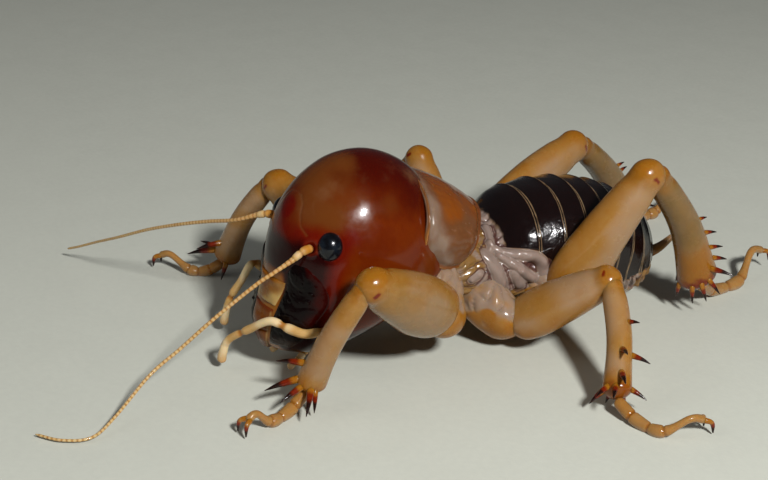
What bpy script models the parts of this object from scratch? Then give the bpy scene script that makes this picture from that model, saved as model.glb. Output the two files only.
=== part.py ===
"""A Jerusalem cricket at life size, standing still, its head turned a little to its left.

The body lies along Y with the head towards -Y, its left side is +X and +Z is up. The floor is
z = 0. Sizes and places are in millimetres, and finish() turns the meshes into metres.
"""

import math

import bmesh
import bpy
from mathutils import Matrix, Vector
from mathutils.bvhtree import BVHTree

MM = 0.001
GAP = 0.3

# The front of the body, from the neck to the prothorax, is swung to the animal's left.
SWING = math.radians(6.5)
SWING_PIVOT = Vector((0.0, -0.25, 0.0))
SWING_FROM, SWING_TO = 1.6, -1.8

# Trunk without legs: station along the body, half width, top, underside.
TRUNK = (
    (-9.5, 3.9, 12.6, 5.2),
    (-6.5, 4.8, 14.2, 4.2),
    (-3.5, 5.3, 13.6, 3.4),
    (-1.0, 5.5, 12.0, 3.0),
    (1.5, 5.6, 11.5, 2.7),
    (4.0, 5.8, 12.3, 2.0),
    (6.5, 6.05, 12.9, 1.3),
    (9.5, 6.15, 12.95, 0.8),
    (12.5, 6.0, 12.45, 0.6),
    (15.5, 5.25, 11.3, 0.7),
    (17.5, 4.1, 9.8, 1.0),
    (19.1, 2.5, 7.9, 1.9),
    (20.0, 0.6, 5.6, 3.9),
)
TRUNK_SQUARENESS = 2.15
# A parting plane between two trunk nodes: its station at PLANE_LEVEL, and its lean per mm up.
PLANE_LEVEL = 10.6
NECK_PLANE = (-8.85, 0.19)
PRO_MESO_PLANE = (-2.0, 0.0)
MESO_META_PLANE = (0.5, -0.1)
META_ABDOMEN_PLANE = (3.0, -0.33)
TAIL_PLANE = (20.0, 0.0)
# Rear margins of the abdomen's plates, and how far each stands over the next.
PLATE_MARGINS = (4.8, 7.1, 9.5, 11.7, 13.9, 15.6, 17.0, 18.1, 19.1)
PLATE_STEP = 0.22
PLATE_EDGE = 0.25

# Pronotum: station, half width, top, lower edge of its sides.
PRONOTUM = (
    (0.0, 6.25, 17.35, 10.4),
    (0.25, 6.45, 16.5, 9.6),
    (0.5, 6.4, 15.5, 8.8),
    (0.75, 6.15, 14.2, 8.6),
    (1.0, 5.5, 12.7, 9.1),
)
PRONOTUM_FRONT = (-8.7, 1.25)
PRONOTUM_REAR = (-2.5, 2.7)
PRONOTUM_TURN_IN = math.radians(32)
PRONOTUM_CORNER = 1.0

# Head: a tall egg that narrows to the mouth.
HEAD_CENTRE = Vector((1.41, -11.98, 9.02))
HEAD_YAW = math.radians(3.3)
HEAD_RADII = Vector((7.03, 8.48, 10.43))
HEAD_DEPTH_BELOW = 7.1
HEAD_SQUARENESS_BELOW = 2.43
HEAD_JAW_NARROWING = 0.16
HEAD_JAW_FORWARD, HEAD_JAW_CURVE = 4.6, 1.45
HEAD_GULA_RISE = 1.9
NECK_CUT = (NECK_PLANE[0] - GAP, NECK_PLANE[1])

# Places on the face, in the head's own frame: sideways from its middle, and height.
EYE_AT = (4.88, 13.26)
EYE_RADII = Vector((1.08, 0.95, 1.25))
EYE_SINK = 0.25
# Mouth plates: height, inner edge and outer edge down each, and how it stands in the face.
MOUTH_PLATES = {
    "clypeus": {
        "outline": ((9.4, -2.15, 2.15), (8.4, -1.95, 1.95), (7.15, -1.6, 1.6)),
        "raised": 0.2,
        "sunk": 0.9,
        "sideways": 0.0,
    },
    "labrum": {
        "outline": (
            (6.8, -1.55, 1.55),
            (5.6, -1.5, 1.5),
            (4.4, -1.35, 1.35),
            (3.4, -0.95, 0.95),
            (2.7, -0.5, 0.5),
        ),
        "raised": 0.1,
        "sunk": 0.9,
        "sideways": 0.0,
    },
    "mandible": {
        "outline": (
            (11.4, 3.1, 3.7),
            (10.6, 2.6, 4.7),
            (9.4, 2.5, 5.2),
            (8.1, 2.25, 5.35),
            (6.9, 1.95, 5.1),
            (5.6, 1.85, 4.6),
            (4.4, 1.7, 3.9),
            (3.3, 1.35, 2.7),
        ),
        "raised": 0.4,
        "sunk": 1.3,
        "sideways": 0.5,
    },
}
CHIN_LEVEL = 3.4
CHIN_SLOPE = 0.35

# Feelers and palps: the places that each passes through.
ANTENNA_LEFT = (
    (5.45, -17.85, 12.95),
    (5.75, -18.9, 12.85),
    (5.82, -19.45, 12.5),
    (5.83, -21.57, 11.4),
    (5.47, -23.05, 10.4),
    (4.66, -26.46, 7.6),
    (3.91, -29.4, 4.9),
    (3.94, -32.13, 3.0),
    (6.22, -35.95, 1.0),
    (7.6, -38.33, 0.36),
    (7.02, -40.67, 0.33),
    (5.2, -42.44, 0.33),
)
ANTENNA_RIGHT = (
    (-2.05, -17.9, 13.0),
    (-2.45, -18.9, 13.2),
    (-3.2, -19.6, 12.9),
    (-4.77, -21.1, 12.05),
    (-8.01, -22.65, 10.9),
    (-11.28, -24.34, 9.6),
    (-15.29, -26.05, 7.8),
    (-19.57, -27.75, 5.6),
    (-23.48, -28.94, 3.7),
    (-26.43, -30.02, 2.2),
    (-28.35, -30.76, 1.3),
)
ANTENNA_BASE_SHARE = 2.2
ANTENNA_HALF = 0.42
FLAGELLUM_HALF = (0.31, 0.2)
PALP_LEFT = (
    (5.9, -15.4, 4.0),
    (7.0, -17.2, 5.6),
    (6.6, -19.0, 5.5),
    (5.6, -20.25, 5.85),
    (4.4, -21.4, 6.2),
    (2.6, -22.6, 4.85),
    (0.8, -23.9, 3.25),
    (0.3, -24.3, 1.85),
    (0.1, -24.4, 0.75),
)
PALP_RIGHT = (
    (-4.2, -15.4, 4.0),
    (-5.1, -17.4, 5.8),
    (-5.0, -19.3, 7.4),
    (-5.5, -20.35, 5.6),
    (-6.0, -21.2, 3.95),
    (-6.3, -21.6, 2.45),
    (-6.5, -21.8, 0.95),
)
PALP_HALF = 0.46
LABIAL_PALP = ((1.2, -17.2, 2.5), (1.6, -18.2, 1.6), (1.8, -19.0, 1.2), (1.9, -19.6, 0.9))
LABIAL_HALF = 0.38
LABIAL_RINGS = 4
CERCUS = ((1.9, 18.9, 4.6), (2.4, 20.2, 5.3), (2.5, 21.8, 6.4))
CERCUS_HALF = (0.62, 0.24)

# Legs: hip, knee, tibia end, middle of the foot, claw, and the two ends of the coxa.
LEGS = {
    "fore_left": {
        "coxa": ((4.7, -5.6, 7.6), (7.3, -6.0, 4.7)),
        "hip": (7.7, -6.5, 5.5),
        "knee": (12.42, -15.83, 12.15),
        "ankle": (9.32, -19.96, 1.73),
        "foot": ((10.2, -22.0, 0.52), (11.19, -24.06, 0.5), (11.55, -25.45, 1.7)),
        "claw": (11.75, -26.4, 1.35),
    },
    "fore_right": {
        "coxa": ((-3.4, -6.6, 7.6), (-5.9, -7.5, 4.7)),
        "hip": (-6.2, -8.1, 5.5),
        "knee": (-13.18, -14.17, 11.76),
        "ankle": (-18.27, -17.43, 1.76),
        "foot": ((-19.4, -18.9, 0.52), (-20.27, -20.38, 0.5), (-22.0, -21.8, 1.7)),
        "claw": (-23.1, -22.55, 1.35),
    },
    "mid_left": {
        "coxa": ((4.4, -0.9, 4.9), (6.5, 0.9, 2.9)),
        "hip": (7.1, 1.7, 2.9),
        "knee": (13.69, 7.13, 9.01),
        "ankle": (20.95, 3.6, 1.45),
        "foot": ((23.4, 4.2, 0.52), (25.7, 5.18, 0.5), (26.6, 7.2, 1.7)),
        "claw": (26.55, 8.75, 1.3),
    },
    "mid_right": {
        "coxa": ((-4.4, -0.9, 4.9), (-6.5, 0.9, 2.9)),
        "hip": (-7.1, 1.5, 3.1),
        "knee": (-13.2, 1.3, 12.25),
        "ankle": (-15.8, -2.6, 2.0),
        "foot": ((-17.6, -4.2, 0.52), (-19.2, -5.8, 0.5), (-20.9, -7.0, 1.7)),
        "claw": (-22.2, -7.45, 1.35),
    },
    "hind_left": {
        "coxa": ((4.4, 5.3, 5.2), (5.8, 6.4, 3.9)),
        "hip": (6.0, 6.9, 3.9),
        "knee": (9.63, 13.4, 16.89),
        "ankle": (6.75, 22.05, 2.8),
        "foot": ((4.6, 25.6, 0.6), (3.74, 29.3, 0.57), (2.3, 31.6, 2.7)),
        "claw": (1.5, 33.6, 2.3),
    },
    "hind_right": {
        "coxa": ((-4.4, 4.4, 5.9), (-5.6, 4.8, 5.4)),
        "hip": (-5.9, 5.0, 5.7),
        "knee": (-8.9, 17.25, 12.65),
        "ankle": (-13.3, 26.6, 1.9),
        "foot": ((-14.3, 29.6, 0.6), (-14.7, 31.6, 0.57), (-14.9, 33.4, 1.9)),
        "claw": (-14.85, 34.8, 1.5),
    },
}
# Half sizes along a limb: share of its length, across the leg's plane, within it.
COXA_SIZES = {
    "fore": ((0.0, 2.2, 2.3), (0.5, 2.2, 2.4), (1.0, 1.9, 2.0)),
    "mid": ((0.0, 2.1, 2.2), (0.5, 2.2, 2.3), (1.0, 1.9, 1.9)),
    "hind": ((0.0, 2.0, 2.2), (0.5, 2.0, 2.2), (1.0, 1.8, 1.9)),
}
COXA_REACH = 1.7
FEMUR_SIZES = {
    "fore": ((0.0, 1.7, 2.1), (0.2, 2.1, 2.8), (0.45, 2.1, 2.85), (0.7, 1.75, 2.3), (1.0, 1.35, 1.4)),
    "mid": ((0.0, 1.5, 1.8), (0.25, 1.8, 2.3), (0.5, 1.8, 2.2), (0.75, 1.5, 1.8), (1.0, 1.25, 1.3)),
    "hind": ((0.0, 1.7, 2.1), (0.25, 2.0, 2.9), (0.5, 1.95, 2.5), (0.75, 1.7, 2.0), (1.0, 1.45, 1.6)),
}
FEMUR_REACH = 0.9
# How far the hind femora arch upwards.
FEMUR_BOW = {"hind_left": 0.35, "hind_right": 0.8}
TIBIA_SIZES = {
    "fore": ((0.0, 1.05, 1.05), (0.3, 1.1, 1.1), (0.7, 1.15, 1.2), (1.0, 1.3, 1.5)),
    "mid": ((0.0, 1.05, 1.05), (0.3, 1.1, 1.1), (0.7, 1.1, 1.15), (1.0, 1.25, 1.4)),
    "hind": ((0.0, 1.3, 1.3), (0.3, 1.3, 1.35), (0.7, 1.45, 1.7), (1.0, 1.65, 2.1)),
}
TIBIA_BOW = 0.05
FOOT_HALF = {"fore": 0.6, "mid": 0.6, "hind": 0.68}
CLAW_REACH, CLAW_DROP = 0.95, 1.2
CLAW_SINK = 0.35
CLAW_SIZES = ((0.0, 0.3, 0.3), (0.6, 0.22, 0.24), (1.0, 0.1, 0.1))
FOOT_RINGS = 11
CLAW_SPREAD = math.radians(30)
CLAW_APART = 0.16

# Spines of a left tibia: share of its length, angle from its outer side, length, and tilt to its end.
SPINES = {
    "fore": (
        (0.81, -48, 2.4, 0.5),
        (0.94, -22, 2.8, 0.8),
        (0.96, 12, 2.2, 0.5),
        (0.93, 52, 2.6, 0.4),
        (0.94, 72, 1.7, 1.0),
        (0.95, -120, 1.5, 1.6),
    ),
    "mid": (
        (0.4, 0, 1.1, 0.3),
        (0.66, 30, 1.7, 0.5),
        (0.64, -40, 1.8, 0.6),
        (0.83, -40, 2.0, 0.9),
        (0.93, 35, 1.5, 0.7),
        (0.94, -60, 2.0, 1.0),
        (0.93, -100, 1.6, 0.9),
        (0.94, -150, 1.4, 1.0),
        (0.92, 150, 1.4, 0.7),
        (0.93, 100, 1.5, 1.0),
    ),
    "hind": (
        (0.54, 8, 0.9, 0.5),
        (0.64, -4, 1.2, 0.6),
        (0.76, -8, 1.3, 0.5),
        (0.86, -4, 1.6, 0.8),
        (0.86, -48, 2.1, 0.3),
        (0.68, 50, 1.3, 0.6),
        (0.81, 52, 1.7, 0.6),
        (0.92, 52, 2.1, 0.6),
        (0.92, -70, 1.6, 1.2),
        (0.92, -102, 1.6, 1.9),
        (0.92, -135, 1.5, 2.1),
        (0.92, 180, 1.5, 2.1),
        (0.92, 130, 1.6, 2.0),
    ),
}
SPINE_HALF, SPINE_HALF_PER_MM = 0.24, 0.07
SPINE_TIP = 0.09
SPINE_SINK = 0.6
SPINE_CLEAR = 0.25
SPINE_SIDES = 4

COLOURS = {
    "head": ((0.33, 0.085, 0.018), 0.22),
    "dark": ((0.02, 0.01, 0.008), 0.25),
    "eye": ((0.008, 0.008, 0.012), 0.08),
    "cream": ((0.62, 0.42, 0.2), 0.35),
    "pronotum": ((0.42, 0.19, 0.08), 0.3),
    "thorax": ((0.42, 0.32, 0.27), 0.4),
    "abdomen": ((0.03, 0.015, 0.01), 0.18),
    "leg": ((0.62, 0.36, 0.14), 0.3),
    "feeler": ((0.55, 0.24, 0.07), 0.4),
}


def clear_scene():
    for obj in list(bpy.data.objects):
        bpy.data.objects.remove(obj, do_unlink=True)


def make_materials():
    """One Principled material for each kind of surface."""
    made = {}
    for name, (colour, roughness) in COLOURS.items():
        material = bpy.data.materials.new(name)
        material.use_nodes = True
        shader = material.node_tree.nodes["Principled BSDF"]
        shader.inputs["Base Color"].default_value = (*colour, 1.0)
        shader.inputs["Roughness"].default_value = roughness
        shader.inputs["Metallic"].default_value = 0.0
        made[name] = material
    return made


def smooth_path(points, steps=10):
    """Points of a Catmull-Rom curve through the given places."""
    points = [Vector(p) for p in points]
    if len(points) == 2:
        return points
    ends = [2 * points[0] - points[1]] + points + [2 * points[-1] - points[-2]]
    made = []
    for i in range(1, len(ends) - 2):
        a, b, c, d = ends[i - 1 : i + 3]
        for k in range(steps):
            t = k / steps
            made.append(
                0.5
                * (
                    2 * b
                    + (c - a) * t
                    + (2 * a - 5 * b + 4 * c - d) * t**2
                    + (3 * b - a - 3 * c + d) * t**3
                )
            )
    made.append(points[-1])
    return made


def along(path, distance):
    """Place and direction on a polyline, running straight on past either end."""
    left = distance
    for i in range(len(path) - 1):
        step = path[i + 1] - path[i]
        if left <= step.length or i == len(path) - 2:
            direction = step.normalized()
            return path[i] + direction * left, direction
        left -= step.length
    return path[-1], (path[-1] - path[-2]).normalized()


def path_length(path):
    return sum((b - a).length for a, b in zip(path, path[1:]))


def table_at(table, at):
    """Values of a table at a place, read along a smooth curve through its rows."""
    last = len(table) - 1
    at = min(max(at, table[0][0]), table[last][0])
    i = max(k for k in range(last) if table[k][0] <= at)
    share = (at - table[i][0]) / (table[i + 1][0] - table[i][0])
    rows = [table[min(max(k, 0), last)] for k in (i - 1, i, i + 1, i + 2)]
    values = []
    for column in range(1, len(table[0])):
        before, low, high, after = (row[column] for row in rows)
        width = rows[2][0] - rows[1][0]
        slope_low = (high - before) / (rows[2][0] - rows[0][0])
        slope_high = (after - low) / (rows[3][0] - rows[1][0])
        h = share
        values.append(
            low * (2 * h**3 - 3 * h**2 + 1)
            + slope_low * width * (h**3 - 2 * h**2 + h)
            + high * (3 * h**2 - 2 * h**3)
            + slope_high * width * (h**3 - h**2)
        )
    return values


def join_rings(rings, start=None, end=None):
    """Closed mesh from rings of equal count, each end a point or a flat face."""
    mesh = bmesh.new()
    made = [[mesh.verts.new(p) for p in ring] for ring in rings]
    count = len(rings[0])
    for low, high in zip(made, made[1:]):
        for k in range(count):
            after = (k + 1) % count
            mesh.faces.new((low[k], low[after], high[after], high[k]))
    for ring, tip, turned in ((made[0], start, True), (made[-1], end, False)):
        if tip is None:
            mesh.faces.new(ring[::-1] if turned else ring)
            continue
        point = mesh.verts.new(tip)
        for k in range(count):
            pair = (ring[k], ring[(k + 1) % count])
            mesh.faces.new((*(pair[::-1] if turned else pair), point))
    bmesh.ops.recalc_face_normals(mesh, faces=mesh.faces)
    return mesh


def sweep(places, sizes, across, sides=12, rings=6, grow=0.0, steps=10, domes=(0.5, 1.0)):
    """Closed limb with rounded ends along a path, with half sizes across and within its plane."""
    path = smooth_path(places, steps)
    length = path_length(path)
    dome_low = min(max(table_at(sizes, 0.0)), 0.4 * length)
    dome_high = min(max(table_at(sizes, 1.0)), 0.4 * length)
    stations = [(dome_low * (1 - math.cos(a)), math.sin(a)) for a in domes]
    span = length - dome_low - dome_high
    stations += [(dome_low + span * k / rings, 1.0) for k in range(rings + 1)]
    stations += [(length - dome_high * (1 - math.cos(a)), math.sin(a)) for a in reversed(domes)]
    made = []
    for distance, share in stations:
        moved = distance + grow * (2 * distance / length - 1)
        centre, direction = along(path, moved)
        lift = Vector(across).cross(direction).normalized()
        side = direction.cross(lift)
        wide, deep = table_at(sizes, distance / length)
        wide, deep = (wide + grow) * share, (deep + grow) * share
        turns = [2 * math.pi * k / sides for k in range(sides)]
        made.append([centre + side * wide * math.cos(t) + lift * deep * math.sin(t) for t in turns])
    start = along(path, -grow)[0]
    end = along(path, length + grow)[0]
    return join_rings(made, start, end)


def swung(point, station):
    """A trunk point after the front of the body is swung to the left."""
    share = (SWING_FROM - station) / (SWING_FROM - SWING_TO)
    turn = Matrix.Rotation(SWING * min(max(share, 0.0), 1.0), 3, "Z")
    return SWING_PIVOT + turn @ (Vector(point) - SWING_PIVOT)


def section(station, turns, grow=0.0):
    """Sideways and height values round the trunk at one station."""
    wide, top, low = table_at(TRUNK, station)
    wide, tall, middle = wide + grow, (top - low) / 2 + grow, (top + low) / 2
    power = 2 / TRUNK_SQUARENESS
    made = []
    for t in turns:
        c, s = math.cos(t), math.sin(t)
        x = math.copysign(abs(c) ** power, c) * wide
        made.append((x, middle + math.copysign(abs(s) ** power, s) * tall))
    return made


def trunk_length(front, rear, stations, sides=20, grow=0.0, tail=False, raised=None):
    """A length of the trunk between two leaning planes."""
    turns = [2 * math.pi * k / sides for k in range(sides)]
    made = []
    for share in stations:
        base = front[0] + (rear[0] - front[0]) * share
        lean = front[1] + (rear[1] - front[1]) * share
        more = grow + (raised(base) if raised else 0.0)
        ring = []
        for x, z in section(base, turns, more):
            ring.append(swung((x, base + lean * (z - PLANE_LEVEL), z), base))
        made.append(ring)
    end = None
    if tail:
        wide, top, low = table_at(TRUNK, rear[0])
        end = Vector((0.0, rear[0] + 0.25, (top + low) / 2))
    return join_rings(made, None, end)


def even(count):
    return [k / count for k in range(count + 1)]


def between(front, rear, grow=0.0):
    """The two planes with half the gap taken off each, or moved outward when grown."""
    half = GAP / 2 - grow
    return (front[0] + half, front[1]), (rear[0] - half, rear[1])


def prothorax(grow=0.0):
    front, rear = between(NECK_PLANE, PRO_MESO_PLANE, grow)
    return trunk_length(front, rear, even(4), grow=grow)


def mesothorax(grow=0.0):
    front, rear = between(PRO_MESO_PLANE, MESO_META_PLANE, grow)
    return trunk_length(front, rear, even(3), grow=grow)


def metathorax(grow=0.0):
    front, rear = between(MESO_META_PLANE, META_ABDOMEN_PLANE, grow)
    return trunk_length(front, rear, even(3), grow=grow)


def plate_height(station):
    """How far a plate stands up at a station: most at its rear margin."""
    before = TRUNK[5][0]
    for margin in PLATE_MARGINS:
        if station <= margin:
            share = max(0.0, (station - before) / (margin - before))
            return PLATE_STEP * share**2
        before = margin
    return 0.0


def abdomen(grow=0.0):
    front, rear = between(META_ABDOMEN_PLANE, TAIL_PLANE, grow)
    stations = [front[0]]
    for low, high in zip((front[0],) + PLATE_MARGINS, PLATE_MARGINS):
        stations += [high, high + PLATE_EDGE]
    shares = [(s - front[0]) / (rear[0] - front[0]) for s in stations if s < rear[0] - 0.2]
    shares.append(1.0)
    return trunk_length(front, rear, shares, grow=grow, tail=True, raised=plate_height)


def pronotum(grow=0.0):
    """The saddle over the front of the trunk, closed below by a flat that the trunk then cuts."""
    columns, rows = 16, 5
    low, high = -PRONOTUM_TURN_IN, math.pi + PRONOTUM_TURN_IN
    made = []
    for share in even(rows):
        wide, top, edge = table_at(PRONOTUM, share)
        middle = edge + wide * 0.42
        ring = []
        for turn in (low + (high - low) * k / columns for k in range(columns + 1)):
            s, c = math.sin(turn), math.cos(turn)
            tall = (top - middle) if s > 0 else (middle - edge) / math.sin(PRONOTUM_TURN_IN)
            x = c * (wide + grow)
            z = middle + s * (tall + grow)
            lobe = PRONOTUM_CORNER * max(0.0, -s)
            front = PRONOTUM_FRONT[0] + PRONOTUM_FRONT[1] * s - grow + 0.6 * lobe
            rear = PRONOTUM_REAR[0] + PRONOTUM_REAR[1] * max(0.0, s) ** 2 + grow - lobe
            ring.append(swung((x, front + (rear - front) * share, z), SWING_TO))
        made.append(ring)
    return join_rings(made)


def in_head(point):
    """From the head's own frame to the body's."""
    return HEAD_CENTRE + Matrix.Rotation(HEAD_YAW, 3, "Z") @ Vector(point)


def head_point(way, grow=0.0):
    """A point of the head's skin in the given direction from its middle."""
    below = max(0.0, -way.z)
    share = math.sqrt(max(0.0, 1 - way.z**2))
    if below:
        share = (1 - below**HEAD_SQUARENESS_BELOW) ** (1 / HEAD_SQUARENESS_BELOW)
    flat = Vector((way.x, way.y, 0.0))
    flat = flat.normalized() * share if flat.length > 1e-9 else flat
    x = flat.x * (HEAD_RADII.x + grow) * (1 - HEAD_JAW_NARROWING * below**2)
    y = flat.y * (HEAD_RADII.y + grow) - HEAD_JAW_FORWARD * below**HEAD_JAW_CURVE
    z = way.z * ((HEAD_RADII.z if way.z > 0 else HEAD_DEPTH_BELOW) + grow)
    rear = max(0.0, (y + 5.0) / HEAD_RADII.y)
    return in_head((x, y, z + HEAD_GULA_RISE * below * rear))


def head_form(grow=0.0, level=4):
    mesh = bmesh.new()
    bmesh.ops.create_icosphere(mesh, subdivisions=level, radius=1.0)
    for vert in mesh.verts:
        vert.co = head_point(vert.co.normalized(), grow)
    return mesh


def head(grow=0.0):
    """The head, cut off flat where the neck meets the prothorax."""
    mesh = head_form(grow)
    at = swung((0.0, NECK_CUT[0] + grow, PLANE_LEVEL), SWING_TO)
    turn = Matrix.Rotation(SWING, 3, "Z")
    normal = turn @ Vector((0.0, 1.0, -NECK_CUT[1])).normalized()
    geometry = mesh.verts[:] + mesh.edges[:] + mesh.faces[:]
    bmesh.ops.bisect_plane(mesh, geom=geometry, plane_co=at, plane_no=normal, clear_outer=True)
    rim = [edge for edge in mesh.edges if edge.is_boundary]
    bmesh.ops.contextual_create(mesh, geom=rim)
    bmesh.ops.recalc_face_normals(mesh, faces=mesh.faces)
    return mesh


class Face:
    """Finds places on the front of the head."""

    def __init__(self):
        mesh = head_form(level=6)
        self.tree = BVHTree.FromBMesh(mesh)
        mesh.free()

    def at(self, sideways, height):
        """Place and outward direction on the face; below the chin it runs straight on."""
        level = max(height, CHIN_LEVEL)
        start = in_head((sideways, -30.0, level - HEAD_CENTRE.z))
        way = in_head((0.0, 1.0, 0.0)) - HEAD_CENTRE
        place, normal, _, _ = self.tree.ray_cast(start, way)
        below = level - height
        return place + Vector((0.0, CHIN_SLOPE * below, -below)), normal


def ellipsoid(centre, radii, normal, grow=0.0, columns=12, rows=7):
    """A ball with its own radii: across, out along the normal, and up."""
    out = Vector(normal).normalized()
    side = out.cross(Vector((0, 0, 1))).normalized()
    up = side.cross(out)
    made = []
    for row in range(1, rows):
        a = math.pi * row / rows
        ring = []
        for column in range(columns):
            b = 2 * math.pi * column / columns
            ring.append(
                centre
                + side * (radii.x + grow) * math.sin(a) * math.cos(b)
                + up * (radii.z + grow) * math.sin(a) * math.sin(b)
                + out * (radii.y + grow) * math.cos(a)
            )
        made.append(ring)
    return join_rings(made, centre + out * (radii.y + grow), centre - out * (radii.y + grow))


def eye(face, side, grow=0.0):
    place, normal = face.at(side * EYE_AT[0], EYE_AT[1])
    return ellipsoid(place - normal * EYE_SINK, EYE_RADII, normal, grow)


def mouth_plate(face, name, side=1, grow=0.0, columns=4, rows=5):
    """A plate that follows the face, sunk into it, between an inner and an outer edge."""
    outline = MOUTH_PLATES[name]["outline"]
    raised, sunk = MOUTH_PLATES[name]["raised"], MOUTH_PLATES[name]["sunk"]
    out = in_head((side * MOUTH_PLATES[name]["sideways"], -1.0, 0.0)) - HEAD_CENTRE
    out.normalize()
    top, low = outline[0][0] + grow, outline[-1][0] - grow
    table = [(-row[0], row[1], row[2]) for row in outline]
    outer, inner = [], []
    for r in range(rows + 1):
        height = top + (low - top) * r / rows
        near, far = table_at(table, -height)
        for c in range(columns + 1):
            share = c / columns
            x = near - grow + (far - near + 2 * grow) * share
            place, _ = face.at(side * x, height)
            edge = min(1.0, 4 * min(share, 1 - share) + 0.35)
            edge *= min(1.0, 4 * min(r, rows - r) / rows + 0.35)
            outer.append(place + out * (raised * edge + grow))
            inner.append(place - out * (sunk + grow))
    return sheet_solid(outer, inner, columns + 1, rows + 1)


def sheet_solid(outer, inner, across, down):
    """Closed solid between two grids of points."""
    mesh = bmesh.new()
    top = [mesh.verts.new(p) for p in outer]
    under = [mesh.verts.new(p) for p in inner]
    for r in range(down - 1):
        for c in range(across - 1):
            a = r * across + c
            quad = (a, a + 1, a + across + 1, a + across)
            for corners in ((0, 1, 2), (0, 2, 3)):
                mesh.faces.new([top[quad[k]] for k in corners])
                mesh.faces.new([under[quad[k]] for k in reversed(corners)])
    rim = list(range(across)) + [r * across + across - 1 for r in range(1, down)]
    rim += [(down - 1) * across + c for c in range(across - 2, -1, -1)]
    rim += [r * across for r in range(down - 2, 0, -1)]
    for a, b in zip(rim, rim[1:] + rim[:1]):
        mesh.faces.new((top[a], top[b], under[b], under[a]))
    bmesh.ops.recalc_face_normals(mesh, faces=mesh.faces)
    return mesh


def cone(root, tip, half, sides=SPINE_SIDES):
    """A spine: a straight taper to a small blunt end."""
    way = (tip - root).normalized()
    side = way.orthogonal().normalized()
    lift = way.cross(side)
    turns = [2 * math.pi * k / sides for k in range(sides)]
    rings = []
    for place, size in ((root, half), (tip, SPINE_TIP)):
        rings.append([place + (side * math.cos(t) + lift * math.sin(t)) * size for t in turns])
    return join_rings(rings)


def limb_frame(leg):
    """Across a leg's plane, from the way its knee bends."""
    hip, knee, ankle = (Vector(leg[name]) for name in ("hip", "knee", "ankle"))
    return (knee - hip).cross(ankle - knee).normalized()


def kind_of(name):
    return name.split("_")[0]


def coxa(name, grow=0.0):
    leg = LEGS[name]
    start, end = (Vector(p) for p in leg["coxa"])
    way = (end - start).normalized()
    places = (start - way * COXA_REACH, end + way * COXA_REACH)
    return sweep(places, COXA_SIZES[kind_of(name)], limb_frame(leg), 10, 2, grow)


def femur(name, grow=0.0):
    leg = LEGS[name]
    hip, knee = Vector(leg["hip"]), Vector(leg["knee"])
    way = (knee - hip).normalized()
    middle = (hip + knee) / 2 + Vector((0, 0, FEMUR_BOW.get(name, 0.0)))
    places = (hip - way * FEMUR_REACH, middle, knee + way * FEMUR_REACH)
    return sweep(places, FEMUR_SIZES[kind_of(name)], limb_frame(leg), 12, 5, grow)


def tibia_path(name):
    """A tibia bows a little away from the body."""
    leg = LEGS[name]
    knee, ankle = Vector(leg["knee"]), Vector(leg["ankle"])
    across = limb_frame(leg)
    out = across.cross(ankle - knee).normalized()
    middle = (knee + ankle) / 2 - out * TIBIA_BOW * (ankle - knee).length
    return (knee, middle, ankle), across, -out


def tibia(name, grow=0.0):
    places, across, _ = tibia_path(name)
    return sweep(places, TIBIA_SIZES[kind_of(name)], across, 9, 4, grow)


def tibia_spines(name):
    """The spines along the tibia and the spurs round its end."""
    kind = kind_of(name)
    places, across, outer = tibia_path(name)
    path = smooth_path(places)
    length = path_length(path)
    mirrored = 1 if name.endswith("left") else -1
    made = []
    for share, angle, size, tilt in SPINES[kind]:
        centre, along_limb = along(path, share * length)
        turn = math.radians(angle) * mirrored
        side = across * math.sin(turn) + outer * math.cos(turn)
        wide, deep = table_at(TIBIA_SIZES[kind], share)
        surface = 1 / math.hypot(math.sin(turn) / wide, math.cos(turn) / deep)
        way = (side + along_limb * tilt).normalized()
        root = centre + side * (surface - SPINE_SINK)
        foot = centre + side * surface
        if way.z < 0:
            size = min(size, (foot.z - SPINE_CLEAR) / -way.z)
        made.append(cone(root, foot + way * size, SPINE_HALF + SPINE_HALF_PER_MM * size))
    return made


def foot_path(name):
    leg = LEGS[name]
    return [Vector(leg["ankle"])] + [Vector(p) for p in leg["foot"]] + [Vector(leg["claw"])]


def tarsus(name):
    """The foot, with its pads on the floor and its long thin last joint, and two claws."""
    leg = LEGS[name]
    half = FOOT_HALF[kind_of(name)]
    ankle, heel, ball, arch, claw = foot_path(name)
    across = Vector((0, 0, 1)).cross(ball - heel).normalized()
    places = [ankle, heel, ball, arch, claw]
    total = path_length(places)
    at_heel, at_ball, at_arch = (path_length(places[:k]) / total for k in (2, 3, 4))
    sizes = [
        (share, half * wide, half * deep)
        for share, wide, deep in (
            (0.0, 0.9, 0.85),
            (at_heel, 1.0, 0.95),
            ((at_heel + at_ball) / 2, 0.8, 0.8),
            (at_ball - 0.03, 1.0, 0.95),
            ((at_ball + at_arch) / 2, 0.6, 0.6),
            (1.0, 0.65, 0.6),
        )
    ]
    foot = sweep(places, sizes, across, 8, FOOT_RINGS, domes=(0.8,))
    way = Vector((claw.x - arch.x, claw.y - arch.y, 0.0)).normalized()
    claws = []
    for side in (-1, 1):
        out = Matrix.Rotation(side * CLAW_SPREAD, 3, "Z") @ way
        root = claw + (arch - claw).normalized() * CLAW_SINK
        root += way.cross(Vector((0, 0, 1))) * -side * CLAW_APART
        middle = root + out * CLAW_REACH * 0.8 - Vector((0, 0, CLAW_DROP * 0.2))
        tip = root + out * CLAW_REACH - Vector((0, 0, CLAW_DROP))
        tip.z = max(0.2, tip.z)
        claws.append(sweep((root, middle, tip), CLAW_SIZES, across, 5, 3, steps=4, domes=(0.8,)))
    return foot, claws


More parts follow.
